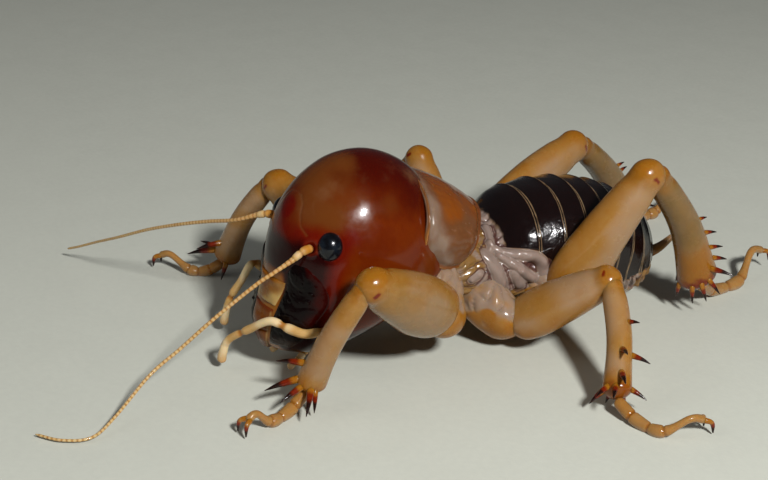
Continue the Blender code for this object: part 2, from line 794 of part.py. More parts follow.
def antenna_base(places, grow=0.0):
    """Scape and pedicel: the first thick joints."""
    path = smooth_path(places)
    ends = [along(path, share * ANTENNA_BASE_SHARE)[0] for share in (0.0, 0.5, 1.0)]
    sizes = ((0.0, ANTENNA_HALF, ANTENNA_HALF), (0.5, ANTENNA_HALF, ANTENNA_HALF), (1.0, 0.36, 0.36))
    return sweep(ends, sizes, (0.0, 0.0, 1.0), 8, 2, grow, domes=(0.8,))


def flagellum(places, first, last):
    """A length of the feeler, between two shares of the way from its base to its tip."""
    path = smooth_path(places)
    total = path_length(path)
    start = ANTENNA_BASE_SHARE + GAP
    low = start + (total - start) * first + (GAP / 2 if first else 0.0)
    high = start + (total - start) * last - (GAP / 2 if last < 1 else 0.0)
    count = 14
    centres = [along(path, low + (high - low) * k / count)[0] for k in range(count + 1)]
    thick, thin = FLAGELLUM_HALF
    sizes = []
    for share in (0.0, 0.5, 1.0):
        half = thick + (thin - thick) * (first + (last - first) * share)
        sizes.append((share, half, half))
    return sweep(centres, sizes, (0.3, 0.0, 1.0), 6, 11, steps=2, domes=(0.8,))


def palp(places, half, grow=0.0, rings=10):
    sizes = ((0.0, half, half), (0.35, half * 0.9, half * 0.9), (0.8, half * 0.8, half * 0.8), (1.0, half, half))
    return sweep(places, sizes, (0.4, 0.2, 1.0), 7, rings, grow, domes=(0.8,))


def cercus(side):
    places = [(side * x, y, z) for x, y, z in CERCUS]
    thick, thin = CERCUS_HALF
    return sweep(places, ((0.0, thick, thick), (1.0, thin, thin)), (1.0, 0.0, 0.0), 8, 3, domes=(0.8,))


def place_mesh(name, mesh):
    """A Blender object for a built mesh, which is then freed."""
    bmesh.ops.triangulate(mesh, faces=mesh.faces)
    data = bpy.data.meshes.new(name)
    mesh.to_mesh(data)
    mesh.free()
    obj = bpy.data.objects.new(name, data)
    bpy.context.scene.collection.objects.link(obj)
    return obj


def take_result(obj):
    """Replaces an object's mesh by what its modifiers make of it."""
    graph = bpy.context.evaluated_depsgraph_get()
    result = bpy.data.meshes.new_from_object(obj.evaluated_get(graph))
    old = obj.data
    obj.modifiers.clear()
    obj.data = result
    bpy.data.meshes.remove(old)


def keep_largest(obj):
    """Drops all but the closed surface with the most faces."""
    mesh = bmesh.new()
    mesh.from_mesh(obj.data)
    left = set(mesh.faces)
    groups = []
    while left:
        group, edge = set(), {left.pop()}
        while edge:
            face = edge.pop()
            group.add(face)
            near = {other for side in face.edges for other in side.link_faces}
            edge |= near & left
            left -= near
        groups.append(group)
    largest = max(groups, key=len)
    loose = [face for group in groups if group is not largest for face in group]
    bmesh.ops.delete(mesh, geom=loose, context="FACES")
    bmesh.ops.dissolve_degenerate(mesh, dist=0.0004, edges=mesh.edges)
    bmesh.ops.triangulate(mesh, faces=mesh.faces)
    mesh.to_mesh(obj.data)
    mesh.free()


def union(obj, meshes):
    """Joins a node's pieces into one closed body."""
    collection = bpy.data.collections.new(obj.name + "_pieces")
    bpy.context.scene.collection.children.link(collection)
    pieces = []
    for mesh in meshes:
        piece = place_mesh(obj.name + "_piece", mesh)
        bpy.context.scene.collection.objects.unlink(piece)
        collection.objects.link(piece)
        pieces.append(piece)
    modifier = obj.modifiers.new("join", "BOOLEAN")
    modifier.operation = "UNION"
    modifier.solver = "MANIFOLD"
    modifier.operand_type = "COLLECTION"
    modifier.collection = collection
    take_result(obj)
    for piece in pieces:
        bpy.data.objects.remove(piece, do_unlink=True)
    bpy.data.collections.remove(collection)


def cut(obj, meshes):
    """Takes the grown forms of a node's neighbours out of it."""
    cutters = [place_mesh(obj.name + "_cutter", mesh) for mesh in meshes]
    for cutter in cutters:
        modifier = obj.modifiers.new("cut", "BOOLEAN")
        modifier.operation = "DIFFERENCE"
        modifier.solver = "EXACT"
        modifier.object = cutter
    take_result(obj)
    for cutter in cutters:
        bpy.data.objects.remove(cutter, do_unlink=True)


def floor_block():
    """Everything below the floor, for cutting the flats that the feet stand on."""
    mesh = bmesh.new()
    bmesh.ops.create_cube(mesh, size=1.0)
    bmesh.ops.scale(mesh, vec=(200.0, 200.0, 10.0), verts=mesh.verts)
    bmesh.ops.translate(mesh, vec=(0.0, 0.0, -5.0), verts=mesh.verts)
    return mesh


def build_trunk():
    nodes = {
        "prothorax": (place_mesh("prothorax", prothorax()), "thorax"),
        "mesothorax": (place_mesh("mesothorax", mesothorax()), "thorax"),
        "metathorax": (place_mesh("metathorax", metathorax()), "thorax"),
        "abdomen": (place_mesh("abdomen", abdomen()), "abdomen"),
        "pronotum": (place_mesh("pronotum", pronotum()), "pronotum"),
    }
    cut(nodes["pronotum"][0], [prothorax(GAP), mesothorax(GAP), metathorax(GAP), abdomen(GAP)])
    for side, word in ((1, "left"), (-1, "right")):
        obj = place_mesh("cercus_" + word, cercus(side))
        cut(obj, [abdomen(GAP)])
        nodes[obj.name] = (obj, "leg")
    return nodes


def build_head():
    face = Face()
    nodes = {"head": (place_mesh("head", head()), "head")}
    sockets = []
    for side, word in ((1, "left"), (-1, "right")):
        nodes["eye_" + word] = (place_mesh("eye_" + word, eye(face, side)), "eye")
        sockets.append(eye(face, side, GAP))
        obj = place_mesh("mandible_" + word, mouth_plate(face, "mandible", side))
        nodes[obj.name] = (obj, "dark")
        sockets.append(mouth_plate(face, "mandible", side, GAP))
    for name, look in (("clypeus", "cream"), ("labrum", "head")):
        nodes[name] = (place_mesh(name, mouth_plate(face, name)), look)
        sockets.append(mouth_plate(face, name, 1, GAP))
    feelers = {"left": ANTENNA_LEFT, "right": ANTENNA_RIGHT}
    palps = {"left": PALP_LEFT, "right": PALP_RIGHT}
    for word, places in feelers.items():
        side = 1 if word == "left" else -1
        obj = place_mesh("antenna_base_" + word, antenna_base(places))
        cut(obj, [eye(face, side, GAP)])
        nodes[obj.name] = (obj, "feeler")
        sockets.append(antenna_base(places, GAP))
        for part, low, high in (("inner", 0.0, 0.5), ("outer", 0.5, 1.0)):
            obj = place_mesh(f"antenna_{part}_{word}", flagellum(places, low, high))
            nodes[obj.name] = (obj, "feeler")
    for word, places in palps.items():
        side = 1 if word == "left" else -1
        obj = place_mesh("palp_" + word, palp(places, PALP_HALF))
        nodes[obj.name] = (obj, "cream")
        sockets.append(palp(places, PALP_HALF, GAP))
        small = [in_head((side * x, y - HEAD_CENTRE.y, z - HEAD_CENTRE.z)) for x, y, z in LABIAL_PALP]
        obj = place_mesh("labial_palp_" + word, palp(small, LABIAL_HALF, 0.0, LABIAL_RINGS))
        nodes[obj.name] = (obj, "cream")
        sockets.append(palp(small, LABIAL_HALF, GAP, LABIAL_RINGS))
    for word, places in palps.items():
        side = 1 if word == "left" else -1
        cutters = [palp(places, PALP_HALF, GAP)]
        small = [in_head((side * x, y - HEAD_CENTRE.y, z - HEAD_CENTRE.z)) for x, y, z in LABIAL_PALP]
        cutters.append(palp(small, LABIAL_HALF, GAP, LABIAL_RINGS))
        cut(nodes["mandible_" + word][0], cutters)
    cut(nodes["head"][0], sockets)
    return nodes


def build_legs():
    nodes = {}
    for name in LEGS:
        base = place_mesh(f"coxa_{name}", coxa(name))
        cut(base, [head(GAP), pronotum(GAP), prothorax(GAP), mesothorax(GAP), metathorax(GAP), abdomen(GAP)])
        thigh = place_mesh(f"femur_{name}", femur(name))
        cut(thigh, [coxa(name, GAP), head(GAP), pronotum(GAP), metathorax(GAP), abdomen(GAP)])
        shin = place_mesh(f"tibia_{name}", tibia(name))
        union(shin, tibia_spines(name))
        cut(shin, [femur(name, GAP)])
        foot, claws = tarsus(name)
        toes = place_mesh(f"tarsus_{name}", foot)
        union(toes, claws)
        cut(toes, [tibia(name, GAP), floor_block()])
        for obj in (base, thigh, shin, toes):
            nodes[obj.name] = (obj, "leg")
    return nodes


def finish(nodes, materials):
    """Cleans the nodes, turns them into metres and stands the origin under the middle."""
    for obj, _ in nodes.values():
        keep_largest(obj)
    corners = [vert.co for obj, _ in nodes.values() for vert in obj.data.vertices]
    low = Vector([min(p[k] for p in corners) for k in range(3)])
    high = Vector([max(p[k] for p in corners) for k in range(3)])
    middle = Vector(((low.x + high.x) / 2, (low.y + high.y) / 2, low.z))
    root = bpy.data.objects.new("jerusalem_cricket", None)
    bpy.context.scene.collection.objects.link(root)
    for obj, look in nodes.values():
        obj.data.transform(Matrix.Scale(MM, 4) @ Matrix.Translation(-middle))
        obj.data.shade_smooth()
        obj.data.set_sharp_from_angle(angle=math.radians(50))
        obj.data.materials.clear()
        obj.data.materials.append(materials[look])
        obj.parent = root


def main():
    clear_scene()
    materials = make_materials()
    nodes = build_trunk()
    nodes.update(build_head())
    nodes.update(build_legs())
    finish(nodes, materials)


main()
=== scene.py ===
"""The look of a Jerusalem cricket: its shell, skin, legs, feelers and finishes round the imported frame.

Places and sizes are in millimetres in the modelling frame: the floor is z = 0, the head points
towards -Y and the animal's left side is +X. Build.make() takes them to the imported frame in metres.
"""

import math

import bmesh
import bpy
import numpy as np
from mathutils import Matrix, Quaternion, Vector
from mathutils.bvhtree import BVHTree


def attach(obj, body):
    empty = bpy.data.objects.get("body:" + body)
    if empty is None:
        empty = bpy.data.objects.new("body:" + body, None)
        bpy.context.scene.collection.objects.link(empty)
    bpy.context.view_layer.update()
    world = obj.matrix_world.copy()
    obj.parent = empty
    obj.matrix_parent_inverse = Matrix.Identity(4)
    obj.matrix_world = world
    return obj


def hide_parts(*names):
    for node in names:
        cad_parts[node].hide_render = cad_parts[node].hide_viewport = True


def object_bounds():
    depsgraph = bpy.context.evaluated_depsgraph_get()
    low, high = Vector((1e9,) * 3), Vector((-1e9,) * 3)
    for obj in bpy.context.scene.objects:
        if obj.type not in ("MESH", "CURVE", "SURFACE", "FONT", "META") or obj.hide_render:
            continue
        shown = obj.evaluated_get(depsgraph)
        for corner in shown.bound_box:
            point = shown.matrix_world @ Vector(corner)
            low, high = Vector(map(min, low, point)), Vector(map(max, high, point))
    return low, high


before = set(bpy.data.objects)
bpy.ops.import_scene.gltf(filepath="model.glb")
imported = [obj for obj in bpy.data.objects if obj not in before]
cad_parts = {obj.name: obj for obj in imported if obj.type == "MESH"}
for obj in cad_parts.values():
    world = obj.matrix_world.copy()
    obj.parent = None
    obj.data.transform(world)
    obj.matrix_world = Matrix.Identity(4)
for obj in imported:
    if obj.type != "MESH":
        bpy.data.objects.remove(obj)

CAD_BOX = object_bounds()

MM = 0.001
# The lowest corner of the whole animal in the modelling frame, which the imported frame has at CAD_BOX.
MODEL_LOW = (-28.3715, -42.5034, 0.0)
ORIGIN = np.array(CAD_BOX[0]) / MM - np.array(MODEL_LOW)

# Marks that the meshes carry for the finishes to read.
MARKS = ("dark", "pale", "warm", "red", "band", "shade")
SIDES = {"left": 1, "right": -1}

# How finely each form is divided: rows and columns of the sheets, levels of the balls, and for each
# kind of limb the points round it, the rings along it and the rings in each rounded end.
BODY_GRID = (800, 420)
PRONOTUM_GRID = (190, 300)
LIP_GRID = (56, 64)
JAW_GRID = (110, 70)
FACE_LEVEL, HEAD_LEVEL, EYE_LEVEL = 6, 7, 5
LIMB_GRIDS = {
    "scape": (28, 44, 12),
    "palp": (32, 150, 12),
    "cercus": (28, 60, 12),
    "coxa": (110, 90, 12),
    "femur": (96, 130, 12),
    "tibia": (84, 130, 12),
    "spine": (14, 26, 4),
    "foot": (44, 150, 12),
    "claw": (16, 40, 5),
}
FLAGELLUM_SIDES = 14
# Stands for a distance that is out of reach of every mark, in mm.
FAR = 9.0

# The camera, where the photo was taken from, its lens for the width of its frame in mm, and the range
# that it sees in metres.
CAMERA_PLACE = (120.09, -66.08, 67.79)
CAMERA_AIM = (-20.51, 1.29, 0.0)
CAMERA_ROLL = math.radians(1.1)
CAMERA_LENS = 75.0
CAMERA_FRAME = 36.0
CAMERA_RANGE = (0.001, 20.0)

# Lights: place, size and power in watts, aimed at LIGHT_AIM.
LIGHT_AIM = (0.0, -4.0, 8.0)
LIGHTS = {
    "key": ((223.0, -9.0, 182.0), 36.0, 1.0),
    "fill": ((-40.0, -280.0, 210.0), 300.0, 0.19),
}
WORLD_COLOUR = (0.9, 0.93, 1.0)
WORLD_STRENGTH = 0.06
FLOOR_SIDE = 4000.0
FLOOR_COLOURS = ((0.52, 0.53, 0.46), (0.57, 0.58, 0.5))

# Finishes of shell and skin: two mottled colours; tints as mark, colour and how ragged their edge is;
# roughness; wet coat; light inside, as its share and the reach of each colour; and bumps, as their
# size and depth in mm and their strength.
SHELLS = {
    "head": {
        "name": "head_shell",
        "base": (0.114, 0.0155, 0.0008),
        "deep": (0.094, 0.0098, 0.0005),
        "tints": (
            ("shade", (0.045, 0.0022, 0.0003), 0.15),
            ("warm", (0.108, 0.028, 0.0042), 0.25),
            # pale: seams and rims, and the painted sheen and streaks over the brow.
            ("pale", (0.15, 0.064, 0.026), 0.4),
            ("red", (0.098, 0.0025, 0.0003), 0.25),
            # dark: the mouth field, and painted shade under the head.
            ("dark", (0.012, 0.0005, 0.0004), 0.2),
            ("band", (0.22, 0.075, 0.006), 0.3),
        ),
        "rough": (0.15, 0.26),
        "coat": 0.22,
        "glow": (0.08, (1.0, 0.2, 0.04)),
        "bumps": ((0.4, 0.012, 0.25), (1.8, 0.04, 0.2)),
    },
    "jaw": {
        "name": "jaw_black",
        "base": (0.004, 0.0015, 0.0015),
        "deep": (0.002, 0.001, 0.001),
        "tints": (("red", (0.022, 0.001, 0.0005), 0.3), ("pale", (0.045, 0.028, 0.02), 0.4)),
        "rough": (0.1, 0.24),
        "coat": 0.12,
        "glow": (0.0, (1.0, 0.3, 0.1)),
        "bumps": ((0.28, 0.07, 0.7), (0.9, 0.12, 0.4)),
    },
    "mouth": {
        "name": "mouth_plate",
        "base": (0.2, 0.08, 0.012),
        "deep": (0.15, 0.045, 0.005),
        "tints": (
            ("warm", (0.19, 0.06, 0.003), 0.4),
            ("pale", (0.36, 0.23, 0.075), 0.35),
            # red: the labrum's red-brown, and a painted shadow line under the clypeus.
            ("red", (0.11, 0.02, 0.003), 0.35),
            ("dark", (0.05, 0.025, 0.02), 0.35),
        ),
        "rough": (0.2, 0.4),
        "coat": 0.2,
        "glow": (0.2, (1.0, 0.35, 0.1)),
        "bumps": ((0.3, 0.04, 0.5),),
    },
    "pronotum": {
        "name": "pronotum_shell",
        "base": (0.145, 0.056, 0.02),
        "deep": (0.105, 0.037, 0.011),
        "tints": (
            ("pale", (0.185, 0.12, 0.082), 0.5),
            ("warm", (0.2, 0.048, 0.002), 0.5),
            ("red", (0.12, 0.024, 0.003), 0.4),
            ("band", (0.33, 0.14, 0.03), 0.3),
        ),
        "rough": (0.14, 0.3),
        "coat": 0.4,
        "glow": (0.22, (1.0, 0.35, 0.12)),
        "bumps": ((0.35, 0.03, 0.4), (1.3, 0.14, 0.35)),
    },
    "body": {
        "name": "body_skin",
        "base": (0.2, 0.12, 0.06),
        "deep": (0.17, 0.09, 0.038),
        "tints": (
            ("warm", (0.19, 0.098, 0.026), 0.3),
            ("pale", (0.235, 0.172, 0.142), 0.4),
            # red: painted shade in the soft skin's creases, the grooves beside the folds and the hollow in
            # the loop.
            ("red", (0.07, 0.03, 0.024), 0.4),
            ("dark", (0.0055, 0.0022, 0.002), 0.25),
            ("band", (0.2, 0.14, 0.075), 0.3),
        ),
        "rough": (0.08, 0.24),
        "coat": 0.4,
        "glow": (0.2, (1.0, 0.45, 0.3)),
        "bumps": ((0.2, 0.04, 0.6), (0.9, 0.09, 0.35)),
    },
    "leg": {
        "name": "leg_shell",
        "base": (0.3, 0.15, 0.036),
        "deep": (0.28, 0.128, 0.022),
        "tints": (
            ("pale", (0.31, 0.186, 0.094), 0.3),
            # shade: painted shade on the hind tibiae, a darker tone on the other legs.
            ("shade", (0.13, 0.076, 0.02), 0.3),
            # warm: orange at knees, roots and ends, and the painted glow along the edges of femora and
            # tibiae.
            ("warm", (0.25, 0.094, 0.006), 0.35),
            ("band", (0.24, 0.165, 0.115), 0.3),
            ("red", (0.13, 0.01, 0.001), 0.3),
            ("dark", (0.01, 0.003, 0.002), 0.35),
        ),
        "rough": (0.14, 0.32),
        "coat": 0.32,
        "glow": (0.35, (1.0, 0.45, 0.15)),
        "bumps": ((0.12, 0.012, 0.4), (0.4, 0.04, 0.4), (1.4, 0.14, 0.35)),
    },
    "feeler": {
        "name": "feeler_shell",
        "base": (0.48, 0.3, 0.115),
        "deep": (0.42, 0.24, 0.07),
        "tints": (
            ("pale", (0.66, 0.51, 0.29), 0.3),
            ("warm", (0.38, 0.15, 0.015), 0.3),
            ("red", (0.16, 0.045, 0.01), 0.3),
        ),
        "rough": (0.22, 0.4),
        "coat": 0.2,
        "glow": (0.2, (1.0, 0.45, 0.15)),
        "bumps": ((0.2, 0.02, 0.4),),
    },
}
# Eye colours: black, and the dark blue of a painted sheen mottled over it.
EYE_COLOURS = ((0.002, 0.002, 0.003), (0.006, 0.009, 0.014))
FACET_SIZE = 0.055
# Speckles of the shells, coarse and fine, in mm, and how smooth and how bright a coat makes them.
MOTTLE_SIZES = (3.0, 0.55)
COAT_ROUGHNESS = 0.06
SHINE_PER_COAT = 0.6

# The front of the body, from the neck to the prothorax, is swung to the animal's left, round a pivot
# and growing between two stations.
SWING = math.radians(6.5)
SWING_PIVOT = np.array((0.0, -0.25, 0.0))
SWING_FROM, SWING_TO = 1.6, -1.8

# Trunk without legs: station along the body, half width, top, underside.
TRUNK = (
    (-9.5, 3.9, 12.6, 5.2),
    (-6.5, 4.8, 14.2, 4.2),
    (-3.5, 5.3, 13.6, 3.4),
    (-1.0, 5.5, 12.0, 3.0),
    (1.5, 5.6, 11.5, 2.7),
    (4.0, 5.8, 12.3, 2.0),
    (6.5, 6.05, 12.9, 1.3),
    (9.5, 6.15, 12.95, 0.8),
    (12.5, 6.0, 12.45, 0.6),
    (15.5, 5.25, 11.3, 0.7),
    (17.5, 4.1, 9.8, 1.0),
    (19.1, 2.5, 7.9, 1.9),
    (20.0, 0.6, 5.6, 3.9),
)
TRUNK_SQUARENESS = 2.15
TRUNK_ENDS = (-9.2, 20.0)
TRUNK_TIPS = ((0.0, -9.2, 9.0), (0.0, 20.25, 4.75))
# How a ring of the trunk leans, in mm along per mm up from LEAN_LEVEL, at stations.
LEAN_LEVEL = 10.6
TRUNK_LEAN = ((-8.85, 0.19), (-2.0, 0.0), (0.5, -0.1), (3.0, -0.33), (20.0, 0.0))
# Rear margins of the abdomen's plates, and how far each stands over the next.
PLATE_MARGINS = (4.65, 7.25, 9.6, 11.8, 13.7, 15.4, 16.8, 18.0, 19.0)
PLATE_STEP = 0.24
FIRST_MARGIN = -12.5
THORAX_MARGINS = (-2.0, 0.9)
# Lower edge of the plates, as the sine of the turn round the trunk, at stations.
PLATE_EDGE = ((-9.0, 0.75), (0.5, 0.62), (3.0, 0.3), (5.0, 0.05), (7.1, -0.28), (14.0, -0.35), (19.0, -0.2))
# How the plates' margins stand more upright than the trunk's rings, in mm along per mm up.
PLATE_UPRIGHT = 0.38
# How far the back sinks between the shield and the first plate.
FRONT_SINK = 0.8
# Rolled folds of skin behind the shield: their places on the left side, half width and height.
FOLDS = (
    {
        "half": 0.56,
        "rise": 0.42,
        "places": (
            (4.3, 0.1, 10.1), (4.72, 0.35, 9.65), (5.18, 2.04, 8.86), (5.47, 3.5, 8.49),
            (5.68, 4.3, 8.25), (5.82, 4.85, 7.7), (5.86, 5.0, 6.95), (5.68, 4.96, 6.2),
            (5.6, 4.3, 6.05), (5.59, 3.37, 6.72), (5.45, 1.95, 7.84), (5.3, 1.13, 8.5),
            (5.16, 0.62, 8.87),
        ),
    },
    {
        "half": 0.8,
        "rise": 0.4,
        "places": (
            (5.32, -0.87, 9.3), (5.4, -0.46, 8.33), (5.51, -0.07, 7.5), (5.38, 0.36, 6.5), (5.2, 0.8, 5.6),
        ),
    },
    {"half": 0.5, "rise": 0.4, "places": ((5.5, -3.0, 7.2), (5.54, -2.3, 7.6))},
    {"half": 0.6, "rise": 0.25, "places": ((5.56, 2.0, 7.1), (5.35, 2.84, 5.6))},
    {
        "half": 0.5,
        "rise": 0.3,
        "places": ((2.4, 0.75, 11.1), (3.4, 0.55, 10.6), (4.3, 0.3, 10.1), (4.9, -0.1, 9.6)),
    },
)
# The middle of the hollow that the folds lie round.
FOLD_HOLLOW = (5.67, 3.9, 7.35)

# Pronotum: share of its length, half width, top, lower edge of its sides.
PRONOTUM = (
    (0.0, 6.25, 17.35, 10.4),
    (0.25, 6.45, 16.5, 9.6),
    (0.5, 6.4, 15.5, 8.8),
    (0.75, 6.15, 14.2, 8.6),
    (1.0, 5.5, 12.7, 9.1),
)
# Station of its front and rear edge at the sides, and how far each runs back at the top.
PRONOTUM_FRONT = (-8.7, 1.25)
PRONOTUM_REAR = (-2.5, 2.7)
# How far its sides turn in below their widest place, and how high that place is per half width.
PRONOTUM_TURN_IN = math.radians(32)
PRONOTUM_MIDDLE = 0.42
# How far its lower corners are rounded off, and how thick it is.
PRONOTUM_CORNER = 1.0
PRONOTUM_THICK = 0.35

# Head: a tall egg that narrows to the mouth. Below its middle it has a depth and squareness of its own,
# narrows by a share, is drawn forward along a curve, and its rear rises to the throat.
HEAD_CENTRE = np.array((1.41, -11.98, 9.02))
HEAD_YAW = math.radians(3.3)
HEAD_RADII = (7.03, 8.48, 10.43)
HEAD_DEPTH_BELOW = 7.1
HEAD_SQUARENESS_BELOW = 2.43
HEAD_JAW_NARROWING = 0.16
HEAD_JAW_FORWARD, HEAD_JAW_CURVE = 4.6, 1.45
HEAD_GULA_RISE = 1.9

# Places on the face, in the head's own frame: sideways from its middle, and height.
EYE_AT = (4.88, 13.26)
# Half sizes of an eye: across, outwards and up, and how deep its centre lies.
EYE_RADII = (1.08, 0.95, 1.25)
EYE_SINK = 0.25
SOCKET_AT = (3.84, 13.01)
SOCKET_HALF = 0.62
# The pale seam of the head: down the middle of the crown, then apart to the feelers' sockets.
SEAM_FORK = (0.0, 16.6)
SEAM_ARM = ((0.0, 16.7), (0.8, 16.6), (1.5, 16.1), (1.8, 15.4), (2.4, 14.5), (3.2, 13.9))
# Thin milky streaks over the brow: pale arcs, and above the eye a painted sheen.
FACE_STREAKS = (
    ((2.1, 17.2), (2.25, 16.4), (2.9, 15.6)),
    ((4.15, 16.6), (4.37, 15.99), (4.73, 15.02), (4.95, 14.6)),
    ((1.2, 18.3), (2.6, 18.1), (3.9, 17.3)),
)
# The middle of the orange glow over the brow.
HEAD_GLOW = ((0.6, 17.6), (2.0, 17.0), (3.4, 16.2), (4.4, 15.6))
# Plates over the mouth: rows of height and the two sides, how far each stands out and reaches in, and
# how far it faces sideways.
MOUTH_PLATES = {
    "clypeus": {
        "outline": ((9.4, -2.15, 2.15), (8.4, -1.95, 1.95), (7.15, -1.6, 1.6)),
        "raised": 0.2,
        "sunk": 0.9,
        "sideways": 0.0,
    },
    "labrum": {
        "outline": (
            (6.8, -1.55, 1.55), (5.6, -1.5, 1.5), (4.4, -1.35, 1.35), (3.4, -0.95, 0.95),
            (2.7, -0.5, 0.5),
        ),
        "raised": 0.15,
        "sunk": 0.9,
        "sideways": 0.0,
    },
    "mandible": {
        "outline": (
            (11.4, 3.1, 3.7), (10.6, 2.6, 4.7), (9.4, 2.5, 5.2), (8.1, 2.25, 5.35), (6.9, 1.95, 5.1),
            (5.6, 1.85, 4.6), (4.4, 1.7, 3.9), (3.3, 1.35, 2.7),
        ),
        "raised": 0.2,
        "sunk": 1.3,
        "sideways": 0.5,
    },
}
# How far the plates reach past the solids' sides, and where and how steeply the face runs on below.
PLATE_SPREAD = 0.12
CHIN_LEVEL = 3.4
CHIN_SLOPE = 0.35

# Feelers and palps: the places that each passes through.
ANTENNAE = {
    "left": (
        (5.45, -17.85, 12.95), (5.75, -18.9, 12.85), (5.82, -19.45, 12.5), (5.83, -21.57, 11.4),
        (5.47, -23.05, 10.4), (4.66, -26.46, 7.6), (3.91, -29.4, 4.9), (3.94, -32.13, 3.0),
        (6.22, -35.95, 1.0), (7.6, -38.33, 0.36), (7.02, -40.67, 0.33), (5.2, -42.44, 0.33),
    ),
    "right": (
        (-2.05, -17.9, 13.0), (-2.45, -18.9, 13.2), (-3.2, -19.6, 12.9), (-4.77, -21.1, 12.05),
        (-8.01, -22.65, 10.9), (-11.28, -24.34, 9.6), (-15.29, -26.05, 7.8), (-19.57, -27.75, 5.6),
        (-23.48, -28.94, 3.7), (-26.43, -30.02, 2.2), (-28.35, -30.76, 1.3),
    ),
}
ANTENNA_BASE_LENGTH = 2.2
# Half sizes of the first joints, where they end, and of the rings at the root and the tip.
ANTENNA_HALF = 0.36
ANTENNA_BASE_END = 0.29
FLAGELLUM_HALF = (0.19, 0.115)
ANTENNA_RING_LENGTH = 0.42
ROWS_PER_RING = 6
PALPS = {
    "left": (
        (5.9, -15.4, 4.0), (7.0, -17.2, 5.6), (6.6, -19.0, 5.5), (5.6, -20.25, 5.85), (4.4, -21.4, 6.2),
        (2.6, -22.6, 4.85), (0.8, -23.9, 3.25), (0.3, -24.3, 1.85), (0.1, -24.4, 0.75),
    ),
    "right": (
        (-4.2, -15.4, 4.0), (-5.1, -17.4, 5.8), (-5.0, -19.3, 7.4), (-5.5, -20.35, 5.6),
        (-6.0, -21.2, 3.95), (-6.3, -21.6, 2.45), (-6.5, -21.8, 0.95),
    ),
}
PALP_HALF = 0.437
# How wide a palp is against PALP_HALF, at shares of its length.
PALP_SIZES = ((0.0, 1.0), (0.35, 0.9), (0.8, 0.78), (1.0, 1.0))
PALP_JOINTS = {"left": (0.2, 0.42, 0.72), "right": (0.2, 0.42, 0.75)}
# The small lip palps and the cerci are given for the left side.
LABIAL_PALP = ((1.2, -17.2, 2.5), (1.6, -18.2, 1.6), (1.8, -19.0, 1.2), (1.9, -19.6, 0.9))
LABIAL_HALF = 0.38
LABIAL_JOINTS = (0.35, 0.65)
PALP_ACROSS = (0.4, 0.2, 1.0)
CERCUS = ((1.9, 18.9, 4.6), (2.4, 20.2, 5.3), (2.5, 21.8, 6.4))
CERCUS_SIZES = ((0.0, 0.62), (1.0, 0.24))

# Legs: hip, knee, tibia end, middle of the foot, claw, and the two ends of the coxa.
LEGS = {
    "fore_left": {
        "coxa": ((4.7, -5.6, 7.6), (7.3, -6.0, 4.7)),
        "hip": (7.7, -6.5, 5.5),
        "knee": (12.42, -15.83, 12.15),
        "ankle": (9.32, -19.96, 1.73),
        "foot": ((10.2, -22.0, 0.52), (11.19, -24.06, 0.5), (11.55, -25.45, 1.7)),
        "claw": (11.75, -26.4, 1.35),
    },
    "fore_right": {
        "coxa": ((-3.4, -6.6, 7.6), (-5.9, -7.5, 4.7)),
        "hip": (-6.2, -8.1, 5.5),
        "knee": (-13.18, -14.17, 11.76),
        "ankle": (-18.27, -17.43, 1.76),
        "foot": ((-19.4, -18.9, 0.52), (-20.27, -20.38, 0.5), (-22.0, -21.8, 1.7)),
        "claw": (-23.1, -22.55, 1.35),
    },
    "mid_left": {
        "coxa": ((4.4, -0.9, 4.9), (6.5, 0.9, 2.9)),
        "hip": (7.1, 1.7, 2.9),
        "knee": (13.69, 7.13, 9.01),
        "ankle": (20.95, 3.6, 1.45),
        "foot": ((23.4, 4.2, 0.52), (25.7, 5.18, 0.5), (26.6, 7.2, 1.7)),
        "claw": (26.55, 8.75, 1.3),
    },
    "mid_right": {
        "coxa": ((-4.4, -0.9, 4.9), (-6.5, 0.9, 2.9)),
        "hip": (-7.1, 1.5, 3.1),
        "knee": (-13.2, 1.3, 12.25),
        "ankle": (-15.8, -2.6, 2.0),
        "foot": ((-17.6, -4.2, 0.52), (-19.2, -5.8, 0.5), (-20.9, -7.0, 1.7)),
        "claw": (-22.2, -7.45, 1.35),
    },
    "hind_left": {
        "coxa": ((4.4, 5.3, 5.2), (5.8, 6.4, 3.9)),
        "hip": (6.0, 6.9, 3.9),
        "knee": (9.63, 13.4, 16.89),
        "ankle": (6.75, 22.05, 2.8),
        "foot": ((4.6, 25.6, 0.6), (3.74, 29.3, 0.57), (2.3, 31.6, 2.7)),
        "claw": (1.5, 33.6, 2.3),
    },
    "hind_right": {
        "coxa": ((-4.4, 4.4, 5.9), (-5.6, 4.8, 5.4)),
        "hip": (-5.9, 5.0, 5.7),
        "knee": (-8.9, 17.25, 12.65),
        "ankle": (-13.3, 26.6, 1.9),
        "foot": ((-14.3, 29.6, 0.6), (-14.7, 31.6, 0.57), (-14.9, 33.4, 1.9)),
        "claw": (-14.85, 34.8, 1.5),
    },
}
# Half sizes along a limb: share of its length, across the leg's plane, within it.
COXA_SIZES = {
    "fore": ((0.0, 2.2, 2.3), (0.5, 2.2, 2.4), (1.0, 1.9, 2.0)),
    "mid": ((0.0, 2.1, 2.2), (0.5, 2.2, 2.3), (1.0, 1.9, 1.9)),
    "hind": ((0.0, 2.0, 2.2), (0.5, 2.0, 2.2), (1.0, 1.8, 1.9)),
}
# How far a coxa runs on past its two places, and a femur past hip and knee.
COXA_REACH = 1.7
FEMUR_REACH = 0.9
FEMUR_SIZES = {
    "fore": ((0.0, 1.7, 2.1), (0.2, 2.1, 2.8), (0.45, 2.1, 2.85), (0.7, 1.75, 2.3), (1.0, 1.35, 1.4)),
    "mid": ((0.0, 1.5, 1.8), (0.25, 1.8, 2.3), (0.5, 1.8, 2.2), (0.75, 1.5, 1.8), (1.0, 1.25, 1.3)),
    "hind": ((0.0, 1.7, 2.1), (0.25, 2.0, 2.9), (0.5, 1.95, 2.5), (0.75, 1.7, 2.0), (1.0, 1.45, 1.6)),
}
